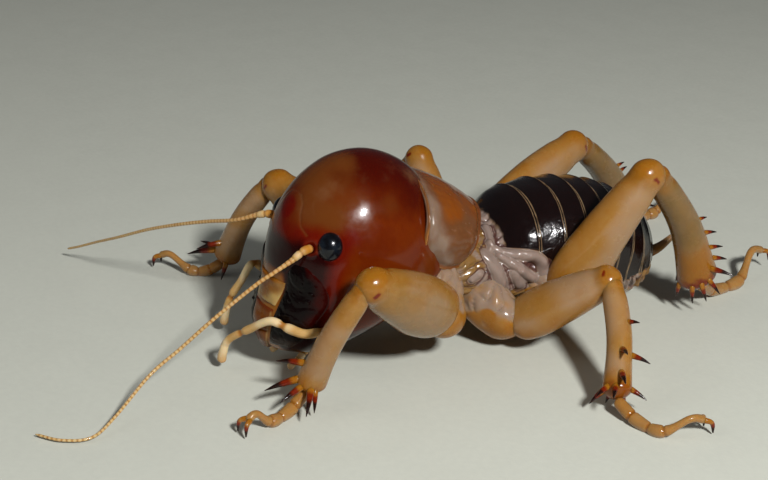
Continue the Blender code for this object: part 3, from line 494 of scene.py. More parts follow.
# How far the hind femora arch upwards.
FEMUR_BOW = {"hind_left": 0.35, "hind_right": 0.8}
TIBIA_SIZES = {
    "fore": ((0.0, 1.05, 1.05), (0.3, 1.1, 1.1), (0.7, 1.15, 1.2), (1.0, 1.3, 1.5)),
    "mid": ((0.0, 1.05, 1.05), (0.3, 1.1, 1.1), (0.7, 1.1, 1.15), (1.0, 1.25, 1.4)),
    "hind": ((0.0, 1.3, 1.3), (0.3, 1.3, 1.35), (0.7, 1.45, 1.7), (1.0, 1.65, 2.1)),
}
# How far a tibia bows outwards, per mm of its length.
TIBIA_BOW = 0.05
# How dark the femora and the tibiae are: on the hind tibiae this is painted shade, elsewhere a darker tone.
FEMUR_SHADE = {"fore": 0.4}
TIBIA_SHADE = {"fore": 0.25, "mid": 0.2, "hind": 0.66}
# The share of a tibia over which it turns orange, and how red its end is.
TIBIA_END = {"fore": (0.75, 1.05), "mid": (0.72, 1.0), "hind": (0.5, 0.85)}
TIBIA_END_RED = {"fore": 0.3, "mid": 0.5, "hind": 0.85}
FOOT_HALF = {"fore": 0.6, "mid": 0.6, "hind": 0.68}
# Claws: reach and drop of the tip, depth of the root, half sizes, and how the two stand apart.
CLAW_REACH, CLAW_DROP = 0.95, 1.2
CLAW_SINK = 0.35
CLAW_SIZES = ((0.0, 0.26, 0.28), (0.55, 0.18, 0.2), (1.0, 0.06, 0.06))
CLAW_SPREAD = math.radians(30)
CLAW_APART = 0.16

# Spines of a left tibia: share of its length, angle from its outer side, length, and tilt to its end.
SPINES = {
    "fore": (
        (0.81, -48, 2.4, 0.5), (0.94, -22, 2.8, 0.8), (0.96, 12, 2.2, 0.5), (0.93, 52, 2.6, 0.4),
        (0.94, 72, 1.7, 1.0), (0.95, -120, 1.5, 1.6),
    ),
    "mid": (
        (0.4, 0, 1.1, 0.3), (0.66, 30, 1.7, 0.5), (0.64, -40, 1.8, 0.6), (0.83, -40, 2.0, 0.9),
        (0.93, 35, 1.5, 0.7), (0.94, -60, 2.0, 1.0), (0.93, -100, 1.6, 0.9), (0.94, -150, 1.4, 1.0),
        (0.92, 150, 1.4, 0.7), (0.93, 100, 1.5, 1.0),
    ),
    "hind": (
        (0.54, 8, 0.9, 0.5), (0.64, -4, 1.2, 0.6), (0.76, -8, 1.3, 0.5), (0.86, -4, 1.6, 0.8),
        (0.86, -48, 2.1, 0.3), (0.68, 50, 1.3, 0.6), (0.81, 52, 1.7, 0.6), (0.92, 52, 2.1, 0.6),
        (0.92, -70, 1.6, 1.2), (0.92, -102, 1.6, 1.9), (0.92, -135, 1.5, 2.1), (0.92, 180, 1.5, 2.1),
        (0.92, 130, 1.6, 2.0),
    ),
}
# Their half size at the root and what it gains with length, the half size of the tip, how deep the root
# lies, and how far above the floor they end.
SPINE_HALF, SPINE_HALF_PER_MM = 0.19, 0.05
SPINE_TIP = 0.03
SPINE_SINK = 0.5
SPINE_CLEAR = 0.2


def cut(values):
    """Values kept from 0 to 1."""
    return np.clip(values, 0.0, 1.0)


def smooth(values, low, high):
    """Rises smoothly from 0 at low to 1 at high."""
    share = cut((np.asarray(values, float) - low) / (high - low))
    return share * share * (3 - 2 * share)


def hump(values, centre, half):
    """A soft hump of height 1 round a centre."""
    return np.exp(-(((np.asarray(values, float) - centre) / half) ** 2))


def unit(vectors):
    """The same directions with length 1."""
    vectors = np.asarray(vectors, float)
    return vectors / np.linalg.norm(vectors, axis=-1, keepdims=True)


def lumps(points, size, seed, waves=14):
    """A soft random field from -1 to 1 with lumps of about the given size."""
    draw = np.random.default_rng(seed)
    points = np.asarray(points, float)
    total = np.zeros(points.shape[:-1])
    for _ in range(waves):
        way = unit(draw.normal(size=3))
        pitch = size * draw.uniform(0.7, 1.6)
        total += np.sin(points @ way * (2 * math.pi / pitch) + draw.uniform(0, 2 * math.pi))
    return np.clip(total / math.sqrt(waves), -1.6, 1.6) / 1.6


def folds(points, size, seed):
    """Sharp creases between soft pillows, from 0 in a crease to 1 on a pillow."""
    return np.sqrt(np.abs(lumps(points, size, seed)))


def warp(points, amount, size, seeds):
    """Points moved about by three soft random fields."""
    return points + amount * np.stack([lumps(points, size, seed) for seed in seeds], -1)


def table_at(table, at):
    """Columns of a table at places, read along a smooth curve through its rows."""
    rows = np.array(table, float)
    keys = rows[:, 0]
    at = np.clip(np.asarray(at, float), keys[0], keys[-1])
    last = len(keys) - 1
    i = np.clip(np.searchsorted(keys, at, side="right") - 1, 0, last - 1)
    before, after = np.maximum(i - 1, 0), np.minimum(i + 2, last)
    width = keys[i + 1] - keys[i]
    h = (at - keys[i]) / width
    columns = []
    for column in rows.T[1:]:
        slope_low = (column[i + 1] - column[before]) / (keys[i + 1] - keys[before])
        slope_high = (column[after] - column[i]) / (keys[after] - keys[i])
        columns.append(
            column[i] * (2 * h**3 - 3 * h**2 + 1)
            + slope_low * width * (h**3 - 2 * h**2 + h)
            + column[i + 1] * (3 * h**2 - 2 * h**3)
            + slope_high * width * (h**3 - h**2)
        )
    return columns


class Path:
    """A smooth curve through places, read by distance along it."""

    def __init__(self, places, steps=30):
        places = np.array(places, float)
        if len(places) > 2:
            places = self.rounded(places, steps)
        self.points = places
        lengths = np.linalg.norm(np.diff(places, axis=0), axis=1)
        self.marks = np.concatenate([[0.0], np.cumsum(lengths)])
        self.length = self.marks[-1]
        self.ways = unit(np.gradient(places, self.marks, axis=0))

    def rounded(self, places, steps):
        """Points along a smooth curve that passes through every place."""
        ends = np.vstack([2 * places[0] - places[1], places, 2 * places[-1] - places[-2]])
        t = (np.arange(steps) / steps)[:, None]
        made = []
        for a, b, c, d in zip(ends, ends[1:], ends[2:], ends[3:]):
            curve = 2 * b + (c - a) * t + (2 * a - 5 * b + 4 * c - d) * t**2
            made.append(0.5 * (curve + (3 * b - a - 3 * c + d) * t**3))
        made.append(places[-1:])
        return np.vstack(made)

    def at(self, distances):
        """Places and directions, running straight on past either end."""
        distances = np.asarray(distances, float)
        inside = np.clip(distances, 0.0, self.length)
        places = np.stack([np.interp(inside, self.marks, axis) for axis in self.points.T], axis=-1)
        ways = unit(np.stack([np.interp(inside, self.marks, axis) for axis in self.ways.T], axis=-1))
        return places + ways * (distances - inside)[..., None], ways


def spread(values, shape):
    """A mark's values over a grid, kept from 0 to 1."""
    return cut(np.broadcast_to(values, shape))


def placed(name, data):
    """A new object in the scene."""
    made = bpy.data.objects.new(name, data)
    bpy.context.scene.collection.objects.link(made)
    return made


class Build:
    """Gathers closed surfaces into one mesh, with marks at its points."""

    def __init__(self):
        self.points, self.faces, self.count = [], [], 0
        self.marks = {name: [] for name in MARKS}

    def add(self, points, faces, **marks):
        """Adds a closed surface, turned so that its faces point out."""
        corners = points[faces]
        volume = np.einsum("ij,ij->i", corners[:, 0], np.cross(corners[:, 1], corners[:, 2])).sum()
        if volume < 0:
            faces = faces[:, ::-1]
        self.points.append(points)
        self.faces.append(faces + self.count)
        self.count += len(points)
        for name in MARKS:
            self.marks[name].append(spread(marks.get(name, 0.0), len(points)))

    def tube(self, rings, ends, **marks):
        """Adds rings of points joined into a tube, with a point at each end."""
        rows, columns = rings.shape[:2]
        index = np.arange(rows * columns).reshape(rows, columns)
        after = np.roll(index, -1, axis=1)
        low, low_after, high, high_after = index[:-1], after[:-1], index[1:], after[1:]
        faces = [
            np.stack([low, high, high_after], -1).reshape(-1, 3),
            np.stack([low, high_after, low_after], -1).reshape(-1, 3),
            np.stack([index[0], after[0], np.full(columns, rows * columns)], -1),
            np.stack([after[-1], index[-1], np.full(columns, rows * columns + 1)], -1),
        ]
        flat = {}
        for name, values in marks.items():
            values = spread(values, (rows, columns))
            flat[name] = np.concatenate([values.ravel(), [values[0].mean(), values[-1].mean()]])
        self.add(np.vstack([rings.reshape(-1, 3), ends]), np.vstack(faces), **flat)

    def sheet(self, outer, inner, **marks):
        """Adds the closed solid between two grids of points."""
        rows, columns = outer.shape[:2]
        index = np.arange(rows * columns).reshape(rows, columns)
        a, b, c, d = index[:-1, :-1], index[:-1, 1:], index[1:, 1:], index[1:, :-1]
        top = np.vstack([np.stack([a, b, c], -1).reshape(-1, 3), np.stack([a, c, d], -1).reshape(-1, 3)])
        under = top[:, ::-1] + rows * columns
        rim = np.concatenate([index[0, :-1], index[:-1, -1], index[-1, :0:-1], index[:0:-1, 0]])
        after = np.roll(rim, -1)
        low = rim + rows * columns
        low_after = after + rows * columns
        sides = [np.stack([after, rim, low], -1), np.stack([after, low, low_after], -1)]
        flat = {name: np.tile(spread(values, (rows, columns)).ravel(), 2) for name, values in marks.items()}
        points = np.vstack([outer.reshape(-1, 3), inner.reshape(-1, 3)])
        self.add(points, np.vstack([top, under, *sides]), **flat)

    def make(self, name, look, slot, *nodes):
        """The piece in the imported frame, riding on the body in place of the given nodes."""
        points = (np.vstack(self.points) + ORIGIN) * MM
        faces = np.vstack(self.faces)
        data = bpy.data.meshes.new(name)
        data.vertices.add(len(points))
        data.vertices.foreach_set("co", points.ravel())
        data.loops.add(faces.size)
        data.loops.foreach_set("vertex_index", faces.ravel())
        data.polygons.add(len(faces))
        data.polygons.foreach_set("loop_start", np.arange(0, faces.size, 3))
        data.update(calc_edges=True)
        for mark, values in self.marks.items():
            attribute = data.attributes.new(mark, "FLOAT", "POINT")
            attribute.data.foreach_set("value", np.concatenate(values).astype(np.float32))
        data.shade_smooth()
        data.materials.append(look)
        piece = placed(name, data)
        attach(piece, "root")
        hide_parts(*nodes)
        return piece


def turned(points, angle):
    """Points turned about the upright axis."""
    c, s = np.cos(angle), np.sin(angle)
    x, y, z = points[..., 0], points[..., 1], points[..., 2]
    return np.stack([x * c - y * s, x * s + y * c, z], -1)


def round_turns(count):
    """Even turns round a ring."""
    return 2 * math.pi * np.arange(count) / count


def grid_of(down, across):
    """Two grids, with the values down the rows and the values across the columns."""
    return np.meshgrid(down, across, indexing="ij")


def ring_points(centres, ways, across, wide, deep, turn):
    """Rings of points round a path, wide and deep by the given half sizes."""
    lift = unit(np.cross(across, ways))
    side = np.cross(ways, lift)
    return centres[:, None] + (
        side[:, None] * (wide * np.cos(turn))[..., None] + lift[:, None] * (deep * np.sin(turn))[..., None]
    )


def round_sizes(*halves):
    """The same half size both ways, at shares of a limb's length."""
    return [(share, half, half) for share, half in halves]


def limb(kind, places, sizes, across, shape=None):
    """Rings round a path with rounded ends, the two end points, and each point's share and turn."""
    sides, rings, dome = LIMB_GRIDS[kind]
    path = Path(places)
    reach = 0.4 * path.length
    dome_low = min(max(table_at(sizes, 0.0)), reach)
    dome_high = min(max(table_at(sizes, 1.0)), reach)
    angles = np.linspace(0.1, math.pi / 2, dome, endpoint=False)
    distances = np.concatenate([
        dome_low * (1 - np.cos(angles)),
        np.linspace(dome_low, path.length - dome_high, rings + 1),
        path.length - dome_high * (1 - np.cos(angles[::-1])),
    ])
    fullness = np.concatenate([np.sin(angles), np.ones(rings + 1), np.sin(angles[::-1])])
    centres, ways = path.at(distances)
    ends, _ = path.at([0.0, path.length])
    share, turn = np.broadcast_arrays((distances / path.length)[:, None], round_turns(sides))
    factor = fullness[:, None] * (1.0 if shape is None else shape(share, turn))
    wide, deep = (column * factor for column in table_at(sizes, share))
    return ring_points(centres, ways, across, wide, deep, turn), ends, share, turn


def in_head(points):
    """From the head's own frame to the body's."""
    return HEAD_CENTRE + turned(np.asarray(points, float), HEAD_YAW)


def head_local(ways):
    """Points of the head's plain skin in its own frame, for directions from its middle."""
    x, y, z = ways[:, 0], ways[:, 1], ways[:, 2]
    below = np.maximum(0.0, -z)
    round_share = np.sqrt(np.maximum(0.0, 1 - z**2))
    power = HEAD_SQUARENESS_BELOW
    share = np.where(below > 0, np.maximum(0.0, 1 - below**power) ** (1 / power), round_share)
    scale = share / np.maximum(np.hypot(x, y), 1e-9)
    made_x = x * scale * HEAD_RADII[0] * (1 - HEAD_JAW_NARROWING * below**2)
    made_y = y * scale * HEAD_RADII[1] - HEAD_JAW_FORWARD * below**HEAD_JAW_CURVE
    made_z = z * np.where(z > 0, HEAD_RADII[2], HEAD_DEPTH_BELOW)
    rear = np.maximum(0.0, (made_y + 5.0) / HEAD_RADII[1])
    return np.stack([made_x, made_y, made_z + HEAD_GULA_RISE * below * rear], -1)


def ball(level):
    """Directions and triangles of an evenly divided ball."""
    mesh = bpy.data.meshes.new("ball")
    shape = bmesh.new()
    bmesh.ops.create_icosphere(shape, subdivisions=level, radius=1.0)
    shape.to_mesh(mesh)
    shape.free()
    ways = np.empty(len(mesh.vertices) * 3)
    mesh.vertices.foreach_get("co", ways)
    faces = np.empty(len(mesh.polygons) * 3, int)
    mesh.polygons.foreach_get("vertices", faces)
    bpy.data.meshes.remove(mesh)
    return unit(ways.reshape(-1, 3)), faces.reshape(-1, 3)


class Face:
    """Finds places on the front of the head."""

    def __init__(self):
        ways, faces = ball(FACE_LEVEL)
        points = in_head(head_local(ways))
        self.tree = BVHTree.FromPolygons([Vector(p) for p in points], faces.tolist())
        self.way = Vector(in_head((0.0, 1.0, 0.0)) - HEAD_CENTRE)

    def at(self, sideways, height):
        """Place and outward direction on the face; below the chin it runs straight on."""
        level = max(height, CHIN_LEVEL)
        start = Vector(in_head((sideways, -30.0, level - HEAD_CENTRE[2])))
        place, normal, _, _ = self.tree.ray_cast(start, self.way)
        below = level - height
        return np.array(place) + (0.0, CHIN_SLOPE * below, -below), np.array(normal)


def polyline_distance(x, y, places):
    """Distance of flat points from a chain of straight runs."""
    nearest = np.full(np.shape(x), 1e9)
    for (ax, ay), (bx, by) in zip(places, places[1:]):
        dx, dy = bx - ax, by - ay
        t = cut(((x - ax) * dx + (y - ay) * dy) / (dx * dx + dy * dy))
        nearest = np.minimum(nearest, np.hypot(x - ax - t * dx, y - ay - t * dy))
    return nearest


class Look:
    """Makes one procedural material, step by step."""

    def __init__(self, name):
        self.material = bpy.data.materials.new(name)
        self.material.use_nodes = True
        self.tree = self.material.node_tree
        self.shader = self.tree.nodes["Principled BSDF"]
        self.coordinates = self.tree.nodes.new("ShaderNodeTexCoord").outputs["Object"]

    def node(self, kind, inputs=None, **settings):
        """A new node, with a value or another node's socket for each input, by name or number."""
        made = self.tree.nodes.new(kind)
        for name, value in settings.items():
            setattr(made, name, value)
        for name, value in (inputs or {}).items():
            if isinstance(value, bpy.types.NodeSocket):
                self.tree.links.new(value, made.inputs[name])
            else:
                made.inputs[name].default_value = value
        return made

    def noise(self, size, detail):
        """Noise with features of about the given size in mm, from 0 to 1."""
        inputs = {"Vector": self.coordinates, "Scale": 1 / (size * MM), "Detail": detail}
        return self.node("ShaderNodeTexNoise", inputs).outputs["Fac"]

    def cells(self, size):
        """Distance to the nearest middle of cells of the given size in mm."""
        inputs = {"Vector": self.coordinates, "Scale": 1 / (size * MM)}
        return self.node("ShaderNodeTexVoronoi", inputs).outputs["Distance"]

    def mark(self, name):
        """A mark of the mesh."""
        return self.node("ShaderNodeAttribute", attribute_name=name).outputs["Fac"]

    def math(self, operation, first, second):
        return self.node("ShaderNodeMath", {0: first, 1: second}, operation=operation).outputs[0]

    def ranged(self, value, low, high, to_low=0.0, to_high=1.0):
        """Takes a value smoothly from one range to another."""
        inputs = {"Value": value, "From Min": low, "From Max": high, "To Min": to_low, "To Max": to_high}
        return self.node("ShaderNodeMapRange", inputs, interpolation_type="SMOOTHSTEP").outputs[0]

    def ragged(self, name, noise, amount):
        """A mark whose edge wanders with a noise."""
        wander = self.math("MULTIPLY", self.math("SUBTRACT", noise, 0.5), amount)
        return self.math("ADD", self.mark(name), wander)

    def mix(self, factor, low, high):
        """A colour between two colours, each given as a tuple or a socket."""
        inputs = {0: factor}
        for number, colour in ((6, low), (7, high)):
            inputs[number] = (*colour, 1.0) if isinstance(colour, tuple) else colour
        return self.node("ShaderNodeMix", inputs, data_type="RGBA", clamp_factor=True).outputs[2]

    def colour(self, socket):
        self.tree.links.new(socket, self.shader.inputs["Base Color"])

    def rough(self, socket):
        self.tree.links.new(socket, self.shader.inputs["Roughness"])

    def bump(self, height, distance, strength, under=None):
        """Raises the surface by a height field, on top of the bumps under it."""
        inputs = {"Height": height, "Distance": distance * MM, "Strength": strength}
        if under is not None:
            inputs["Normal"] = under
        made = self.node("ShaderNodeBump", inputs)
        self.tree.links.new(made.outputs[0], self.shader.inputs["Normal"])
        return made.outputs[0]

    def set(self, **values):
        """Sets plain values of the shader."""
        for name, value in values.items():
            self.shader.inputs[name.replace("_", " ")].default_value = value


def shell_look(name, base, deep, tints, rough, coat, glow, bumps):
    """Glossy horny shell: two mottled colours, tints by marks, a wet coat and some light inside."""
    look = Look(name)
    broad, fine = look.noise(MOTTLE_SIZES[0], 4.0), look.noise(MOTTLE_SIZES[1], 5.0)
    mottle = look.ranged(look.math("ADD", broad, look.math("MULTIPLY", fine, 0.5)), 0.5, 1.0)
    colour = look.mix(mottle, base, deep)
    for mark, tint, amount in tints:
        factor = look.ranged(look.ragged(mark, fine, amount), 0.06, 0.94)
        colour = look.mix(factor, colour, tint)
    look.colour(colour)
    look.rough(look.ranged(look.noise(0.9, 6.0), 0.3, 0.75, rough[0], rough[1]))
    under = None
    for size, distance, strength in bumps:
        under = look.bump(look.noise(size, 4.0), distance, strength, under)
    look.set(Coat_Weight=coat, Coat_Roughness=COAT_ROUGHNESS, Specular_IOR_Level=SHINE_PER_COAT * coat)
    look.set(Subsurface_Weight=glow[0], Subsurface_Scale=MM)
    look.shader.inputs["Subsurface Radius"].default_value = glow[1]
    return look.material


def make_looks():
    """Every finish, by name."""
    looks = {key: shell_look(**shell) for key, shell in SHELLS.items()}
    looks["eye"] = eye_look()
    return looks


def eye_look():
    """Black glossy eye with fine facets and a painted blue sheen."""
    look = Look("eye_black")
    facets = look.cells(FACET_SIZE)
    painted_blue_sheen = look.ranged(look.noise(1.1, 2.0), 0.4, 0.7)
    look.colour(look.mix(painted_blue_sheen, *EYE_COLOURS))
    look.rough(look.ranged(facets, 0.0, 0.6, 0.1, 0.22))
    look.bump(look.math("MULTIPLY", facets, -1.0), 0.012, 0.35)
    look.set(Coat_Weight=0.4, Coat_Roughness=0.03, Specular_IOR_Level=0.2)
    return look.material


def floor_look():
    """Pale plain floor with the faintest grain."""
    look = Look("floor")
    look.colour(look.mix(look.noise(0.7, 4.0), *FLOOR_COLOURS))
    look.rough(look.ranged(look.noise(4.0, 3.0), 0.3, 0.7, 0.75, 0.9))
    look.bump(look.noise(0.5, 4.0), 0.03, 0.5)
    return look.material


def head_capsule(face, looks):
    """The head's shell: its seams, socket rims, dark mouth field and painted shade underneath."""
    ways, faces = ball(HEAD_LEVEL)
    local = head_local(ways)
    sideways, height = np.abs(local[:, 0]), local[:, 2] + HEAD_CENTRE[2]
    front = smooth(-local[:, 1], 1.0, 3.5)
    seam = np.where((height > SEAM_FORK[1]) & (local[:, 1] < 6.0), sideways, FAR)
    arm = np.where(front > 0, polyline_distance(sideways, height, SEAM_ARM), FAR)
    line = np.maximum(0.5 * hump(seam, 0.0, 0.1), hump(arm, 0.0, 0.1) * front)
    plain = in_head(local)
    eye_away = socket_away = np.full(len(plain), FAR)
    for side in SIDES.values():
        eye, _ = face.at(side * EYE_AT[0], EYE_AT[1])
        socket, _ = face.at(side * SOCKET_AT[0], SOCKET_AT[1])
        eye_away = np.minimum(eye_away, np.linalg.norm(plain - eye, axis=1) / EYE_RADII[0])
        socket_away = np.minimum(socket_away, np.linalg.norm(plain - socket, axis=1))
    rise = -0.04 * line
    rise -= 0.06 * hump(eye_away, 1.08, 0.1)
    rise += 0.1 * hump(socket_away, SOCKET_HALF, 0.15) - 0.3 * hump(socket_away, 0.0, 0.4)
    rise += -0.18 * front * hump(sideways, 0.0, 2.2) * hump(height, 12.2, 1.6)
    rise += 0.14 * front * hump(sideways, 0.0, 1.3) * hump(height, 15.4, 0.9)
    rise += 0.02 * lumps(local, 3.2, 3) + 0.002 * lumps(local, 0.9, 4)
    cheek = hump(sideways, 5.5, 0.3) * smooth(height, 4.0, 6.0) * smooth(-height, -11.0, -9.0)
    rise -= 0.1 * front * cheek
    points = in_head(local + unit(ways) * rise[:, None])
    wander = 0.3 * lumps(local, 2.2, 5)
    field = smooth(-(height + wander), -14.2, -12.2) * smooth(-sideways, -6.1, -4.6) * front
    # Painted shade: the head's underside, below about 5 mm, is darkened.
    field = np.maximum(field, smooth(-height, -6.4, -4.2))
    amber = front * smooth(-sideways, -2.5, -1.6) * smooth(-height, -10.9, -9.3)
    red_field = front * smooth(-(height + wander), -15.6, -13.6) * smooth(-sideways, -6.5, -5.5)
    oval = front * smooth(-np.hypot(sideways / 1.25, (height - 15.5) / 0.95), -1.15, -0.6)
    glow = np.where(local[:, 1] < 4.0, polyline_distance(sideways, height, HEAD_GLOW), FAR)
    # Painted sheen: a soft milky patch over the brow stands in for a broad reflection and lightens the
    # colour; the streaks join it.
    cloudy = 0.5 + 0.6 * lumps(local * (1.0, 1.0, 0.4), 1.6, 6)
    painted_sheen_and_streaks = hump(sideways, 2.2, 1.5) * hump(height, 17.0, 1.5) * cloudy
    for streak in FACE_STREAKS:
        away = polyline_distance(sideways, height, streak)
        painted_sheen_and_streaks = np.maximum(painted_sheen_and_streaks, 0.45 * hump(away, 0.0, 0.1) * front)
    pale = 0.35 * line + 0.6 * hump(socket_away, SOCKET_HALF, 0.2)
    pale += 0.35 * hump(eye_away, 1.15, 0.06) + 0.5 * cut(painted_sheen_and_streaks)
    warm = smooth(-glow, -3.4, -0.2) * (0.75 + 0.4 * lumps(local, 3.0, 7)) * smooth(-local[:, 1], 0.0, 2.5)
    warm += 0.45 * smooth(lumps(local * (1.0, 1.0, 0.6), 3.4, 8), -0.2, 1.1)
    shade = smooth(height + 0.4 * local[:, 1] + 0.7 * lumps(local, 3.5, 10), 13.6, 19.8)
    shade = np.maximum(shade, 0.8 * smooth(local[:, 1], 2.0, 5.5) * smooth(height, 12.5, 14.5))
    build = Build()
    build.add(
        points,
        faces,
        dark=field * (1 - amber) - 0.8 * pale,
        red=cut(0.75 * red_field + 0.8 * oval) * (1 - 0.8 * line),
        pale=pale,
        warm=warm * (1 - 0.7 * red_field),
        shade=shade,
        band=amber,
    )
    build.make("head_capsule", looks["head"], "shell", "head")


def eye_ball(face, side):
    """Centre and axes of an eye."""
    place, normal = face.at(side * EYE_AT[0], EYE_AT[1])
    out = unit(normal)
    across = unit(np.cross(out, (0.0, 0.0, 1.0)))
    up = np.cross(across, out)
    return place - out * EYE_SINK, across, out, up


def eyes(face, looks):
    """Two glossy domes beside the feelers."""
    ways, faces = ball(EYE_LEVEL)
    for word, side in SIDES.items():
        centre, across, out, up = eye_ball(face, side)
        axes = np.stack([across * EYE_RADII[0], out * EYE_RADII[1], up * EYE_RADII[2]])
        build = Build()
        build.add(centre + ways @ axes, faces)
        build.make(f"eye_dome_{word}", looks["eye"], "eye", f"eye_{word}")


def plate_grid(face, name, side, size):
    """Face places down and across a mouth plate, its outward way, and shares down and across."""
    rows, columns = size
    outline = MOUTH_PLATES[name]["outline"]
    out = unit(in_head((side * MOUTH_PLATES[name]["sideways"], -1.0, 0.0)) - HEAD_CENTRE)
    heights = np.linspace(outline[0][0], outline[-1][0], rows)
    table = [(-row[0], row[1], row[2]) for row in outline]
    near, far = table_at(table, -heights)
    near, far = near - PLATE_SPREAD, far + PLATE_SPREAD
    down, across = grid_of(np.linspace(0.0, 1.0, rows), np.linspace(0.0, 1.0, columns))
    grid = np.empty((rows, columns, 3))
    for r, c in np.ndindex(rows, columns):
        x = near[r] + (far[r] - near[r]) * across[r, c]
        grid[r, c], _ = face.at(side * x, heights[r])
    return grid, out, down, across


def rounded_edge(down, across, width=0.22):
    """How full a plate is: 1 in its middle, rounding off to 0 at its rim."""
    near = np.minimum(np.minimum(down, 1 - down) * 1.4, np.minimum(across, 1 - across))
    share = cut(near / width)
    return np.sqrt(1 - (1 - share) ** 2)


def mouth(face, looks):
    """Clypeus, labrum and the two mandibles."""
    for name in ("clypeus", "labrum"):
        grid, out, down, across = plate_grid(face, name, 1, LIP_GRID)
        plate = MOUTH_PLATES[name]
        middle = np.abs(across - 0.5) * 2
        rise = plate["raised"] * rounded_edge(down, across) + 0.04 * lumps(grid, 1.1, 8)
        if name == "clypeus":
            rise += 0.12 * (1 - middle**2) * (1 - down)
            marks = {
                "pale": smooth(0.5 * middle + 0.7 * down + 0.2 * lumps(grid, 1.0, 14), 0.25, 1.1),
                "warm": 0.7 * smooth(-down - 0.5 * middle, -0.9, -0.1),
                # Painted shadow: a dark red line along the clypeus's lower edge.
                "red": 0.8 * smooth(down, 0.95, 1.0),
            }
        else:
            rise += 0.14 * (1 - middle**2) * smooth(down, 0.1, 0.4) - 0.1 * hump(down, 0.5, 0.03)
            streaks = hump(middle, 0.45, 0.08) * smooth(down, 0.5, 0.6)
            marks = {
                # The labrum is red-brown; the hump at its top continues the painted shadow under the
                # clypeus.
                "red": 0.45 + 0.5 * hump(down, 0.0, 0.06) + 0.3 * smooth(down, 0.5, 0.8) * (1 - middle),
                "pale": 0.85 * hump(middle, 0.93, 0.06) + 0.25 * streaks,
                "warm": 0.5 * smooth(-down, -0.5, -0.2),
                "dark": 0.4 * smooth(down, 0.5, 0.9),
            }
        build = Build()
        build.sheet(grid + out * rise[..., None], grid - out * plate["sunk"], **marks)
        build.make(f"{name}_plate", looks["mouth"], "cream", name)
    for word, side in SIDES.items():
        grid, out, down, across = plate_grid(face, "mandible", side, JAW_GRID)
        plate = MOUTH_PLATES["mandible"]
        edge = rounded_edge(down, across, 0.3)
        knobs = cut(lumps(grid, 0.62, 12) - 0.45) * (0.5 + lumps(grid, 2.4, 15))
        creases = hump(lumps(grid, 2.6, 11), 0.0, 0.16)
        rugged = 0.07 * lumps(grid, 1.7, 13) + 0.24 * knobs - 0.05 * creases
        rise = plate["raised"] * edge + rugged * edge - 0.12 * (1 - edge)
        build = Build()
        marks = {
            "red": 0.9 * smooth(across + 0.1 * lumps(grid, 1.5, 16), 0.6, 1.0) * smooth(-down, -0.9, -0.5),
            "pale": 0.6 * smooth(down, 0.78, 0.95),
        }
        build.sheet(grid + out * rise[..., None], grid - out * plate["sunk"], **marks)
        build.make(f"mandible_jaw_{word}", looks["jaw"], "dark", f"mandible_{word}")


def antennae(looks):
    """Feelers: two thick first joints, then many short rings."""
    for word, places in ANTENNAE.items():
        path = Path(places)
        build = Build()
        base, _ = path.at([0.0, 0.5 * ANTENNA_BASE_LENGTH, ANTENNA_BASE_LENGTH])
        sizes = round_sizes((0.0, ANTENNA_HALF), (0.5, ANTENNA_HALF), (1.0, ANTENNA_BASE_END))

        def scape(share, _):
            return 1 - 0.22 * hump(share, 0.58, 0.05) + 0.06 * hump(share, 0.35, 0.1)

        rings, ends, share, _ = limb("scape", base, sizes, (0, 0, 1), scape)
        marks = {"warm": 0.5 * hump(share, 0.3, 0.2) + 0.3, "pale": 0.6 * hump(share, 0.75, 0.15)}
        red = np.maximum(0.5 * hump(share, 0.58, 0.04), smooth(-share, -0.2, -0.05))
        build.tube(rings, ends, red=red, **marks)
        first = ANTENNA_BASE_LENGTH - 0.15
        count = round((path.length - first) / ANTENNA_RING_LENGTH)
        distances = np.linspace(first, path.length - 0.02, count * ROWS_PER_RING + 1)
        phase = (np.arange(len(distances)) % ROWS_PER_RING) / ROWS_PER_RING
        length_share = np.linspace(0.0, 1.0, len(distances))
        thick, thin = FLAGELLUM_HALF
        half = (thick + (thin - thick) * length_share) * (0.92 + 0.1 * np.sin(math.pi * phase) ** 0.7)
        half *= np.minimum(1.0, np.sqrt((1 - length_share) * 60 + 0.04))
        half *= 1 + 0.35 * hump(length_share, 0.0, 0.03)
        centres, ways = path.at(distances)
        half = half[:, None]
        rings = ring_points(centres, ways, (0.3, 0.0, 1.0), half, half, round_turns(FLAGELLUM_SIDES))
        groove = (1 - np.sin(math.pi * phase))[:, None]
        warm = 0.5 * (1 - length_share[:, None]) ** 2
        ends, _ = path.at([first - 0.2, path.length])
        build.tube(rings, ends, red=0.55 * groove, warm=warm, pale=0.5 * (1 - groove))
        nodes = [f"antenna_{part}_{word}" for part in ("base", "inner", "outer")]
        build.make(f"antenna_ringed_{word}", looks["feeler"], "feeler", *nodes)


def jointed(build, places, half, joints):
    """A palp: joints that swell a little to their ends, the last one club-shaped."""

    def shape(share, _):
        swell = np.ones_like(share)
        for joint in joints:
            swell += 0.12 * hump(share, joint - 0.05, 0.05) - 0.3 * hump(share, joint, 0.018)
        return swell

    sizes = round_sizes(*[(share, half * wide) for share, wide in PALP_SIZES])
    rings, ends, share, _ = limb("palp", places, sizes, PALP_ACROSS, shape)
    joint_mark = sum(hump(share, joint, 0.022) for joint in joints)
    pale = 0.9 * smooth(np.sin(share * 14 + 1.0) + 0.35 * lumps(rings, 2.0, 21), -0.6, 0.8)
    build.tube(
        rings,
        ends,
        pale=pale * (1 - joint_mark),
        warm=0.7 * joint_mark + 0.6 * smooth(share, 0.85, 1.0),
        red=0.45 * joint_mark + 0.25 * smooth(share, 0.97, 1.0),
    )


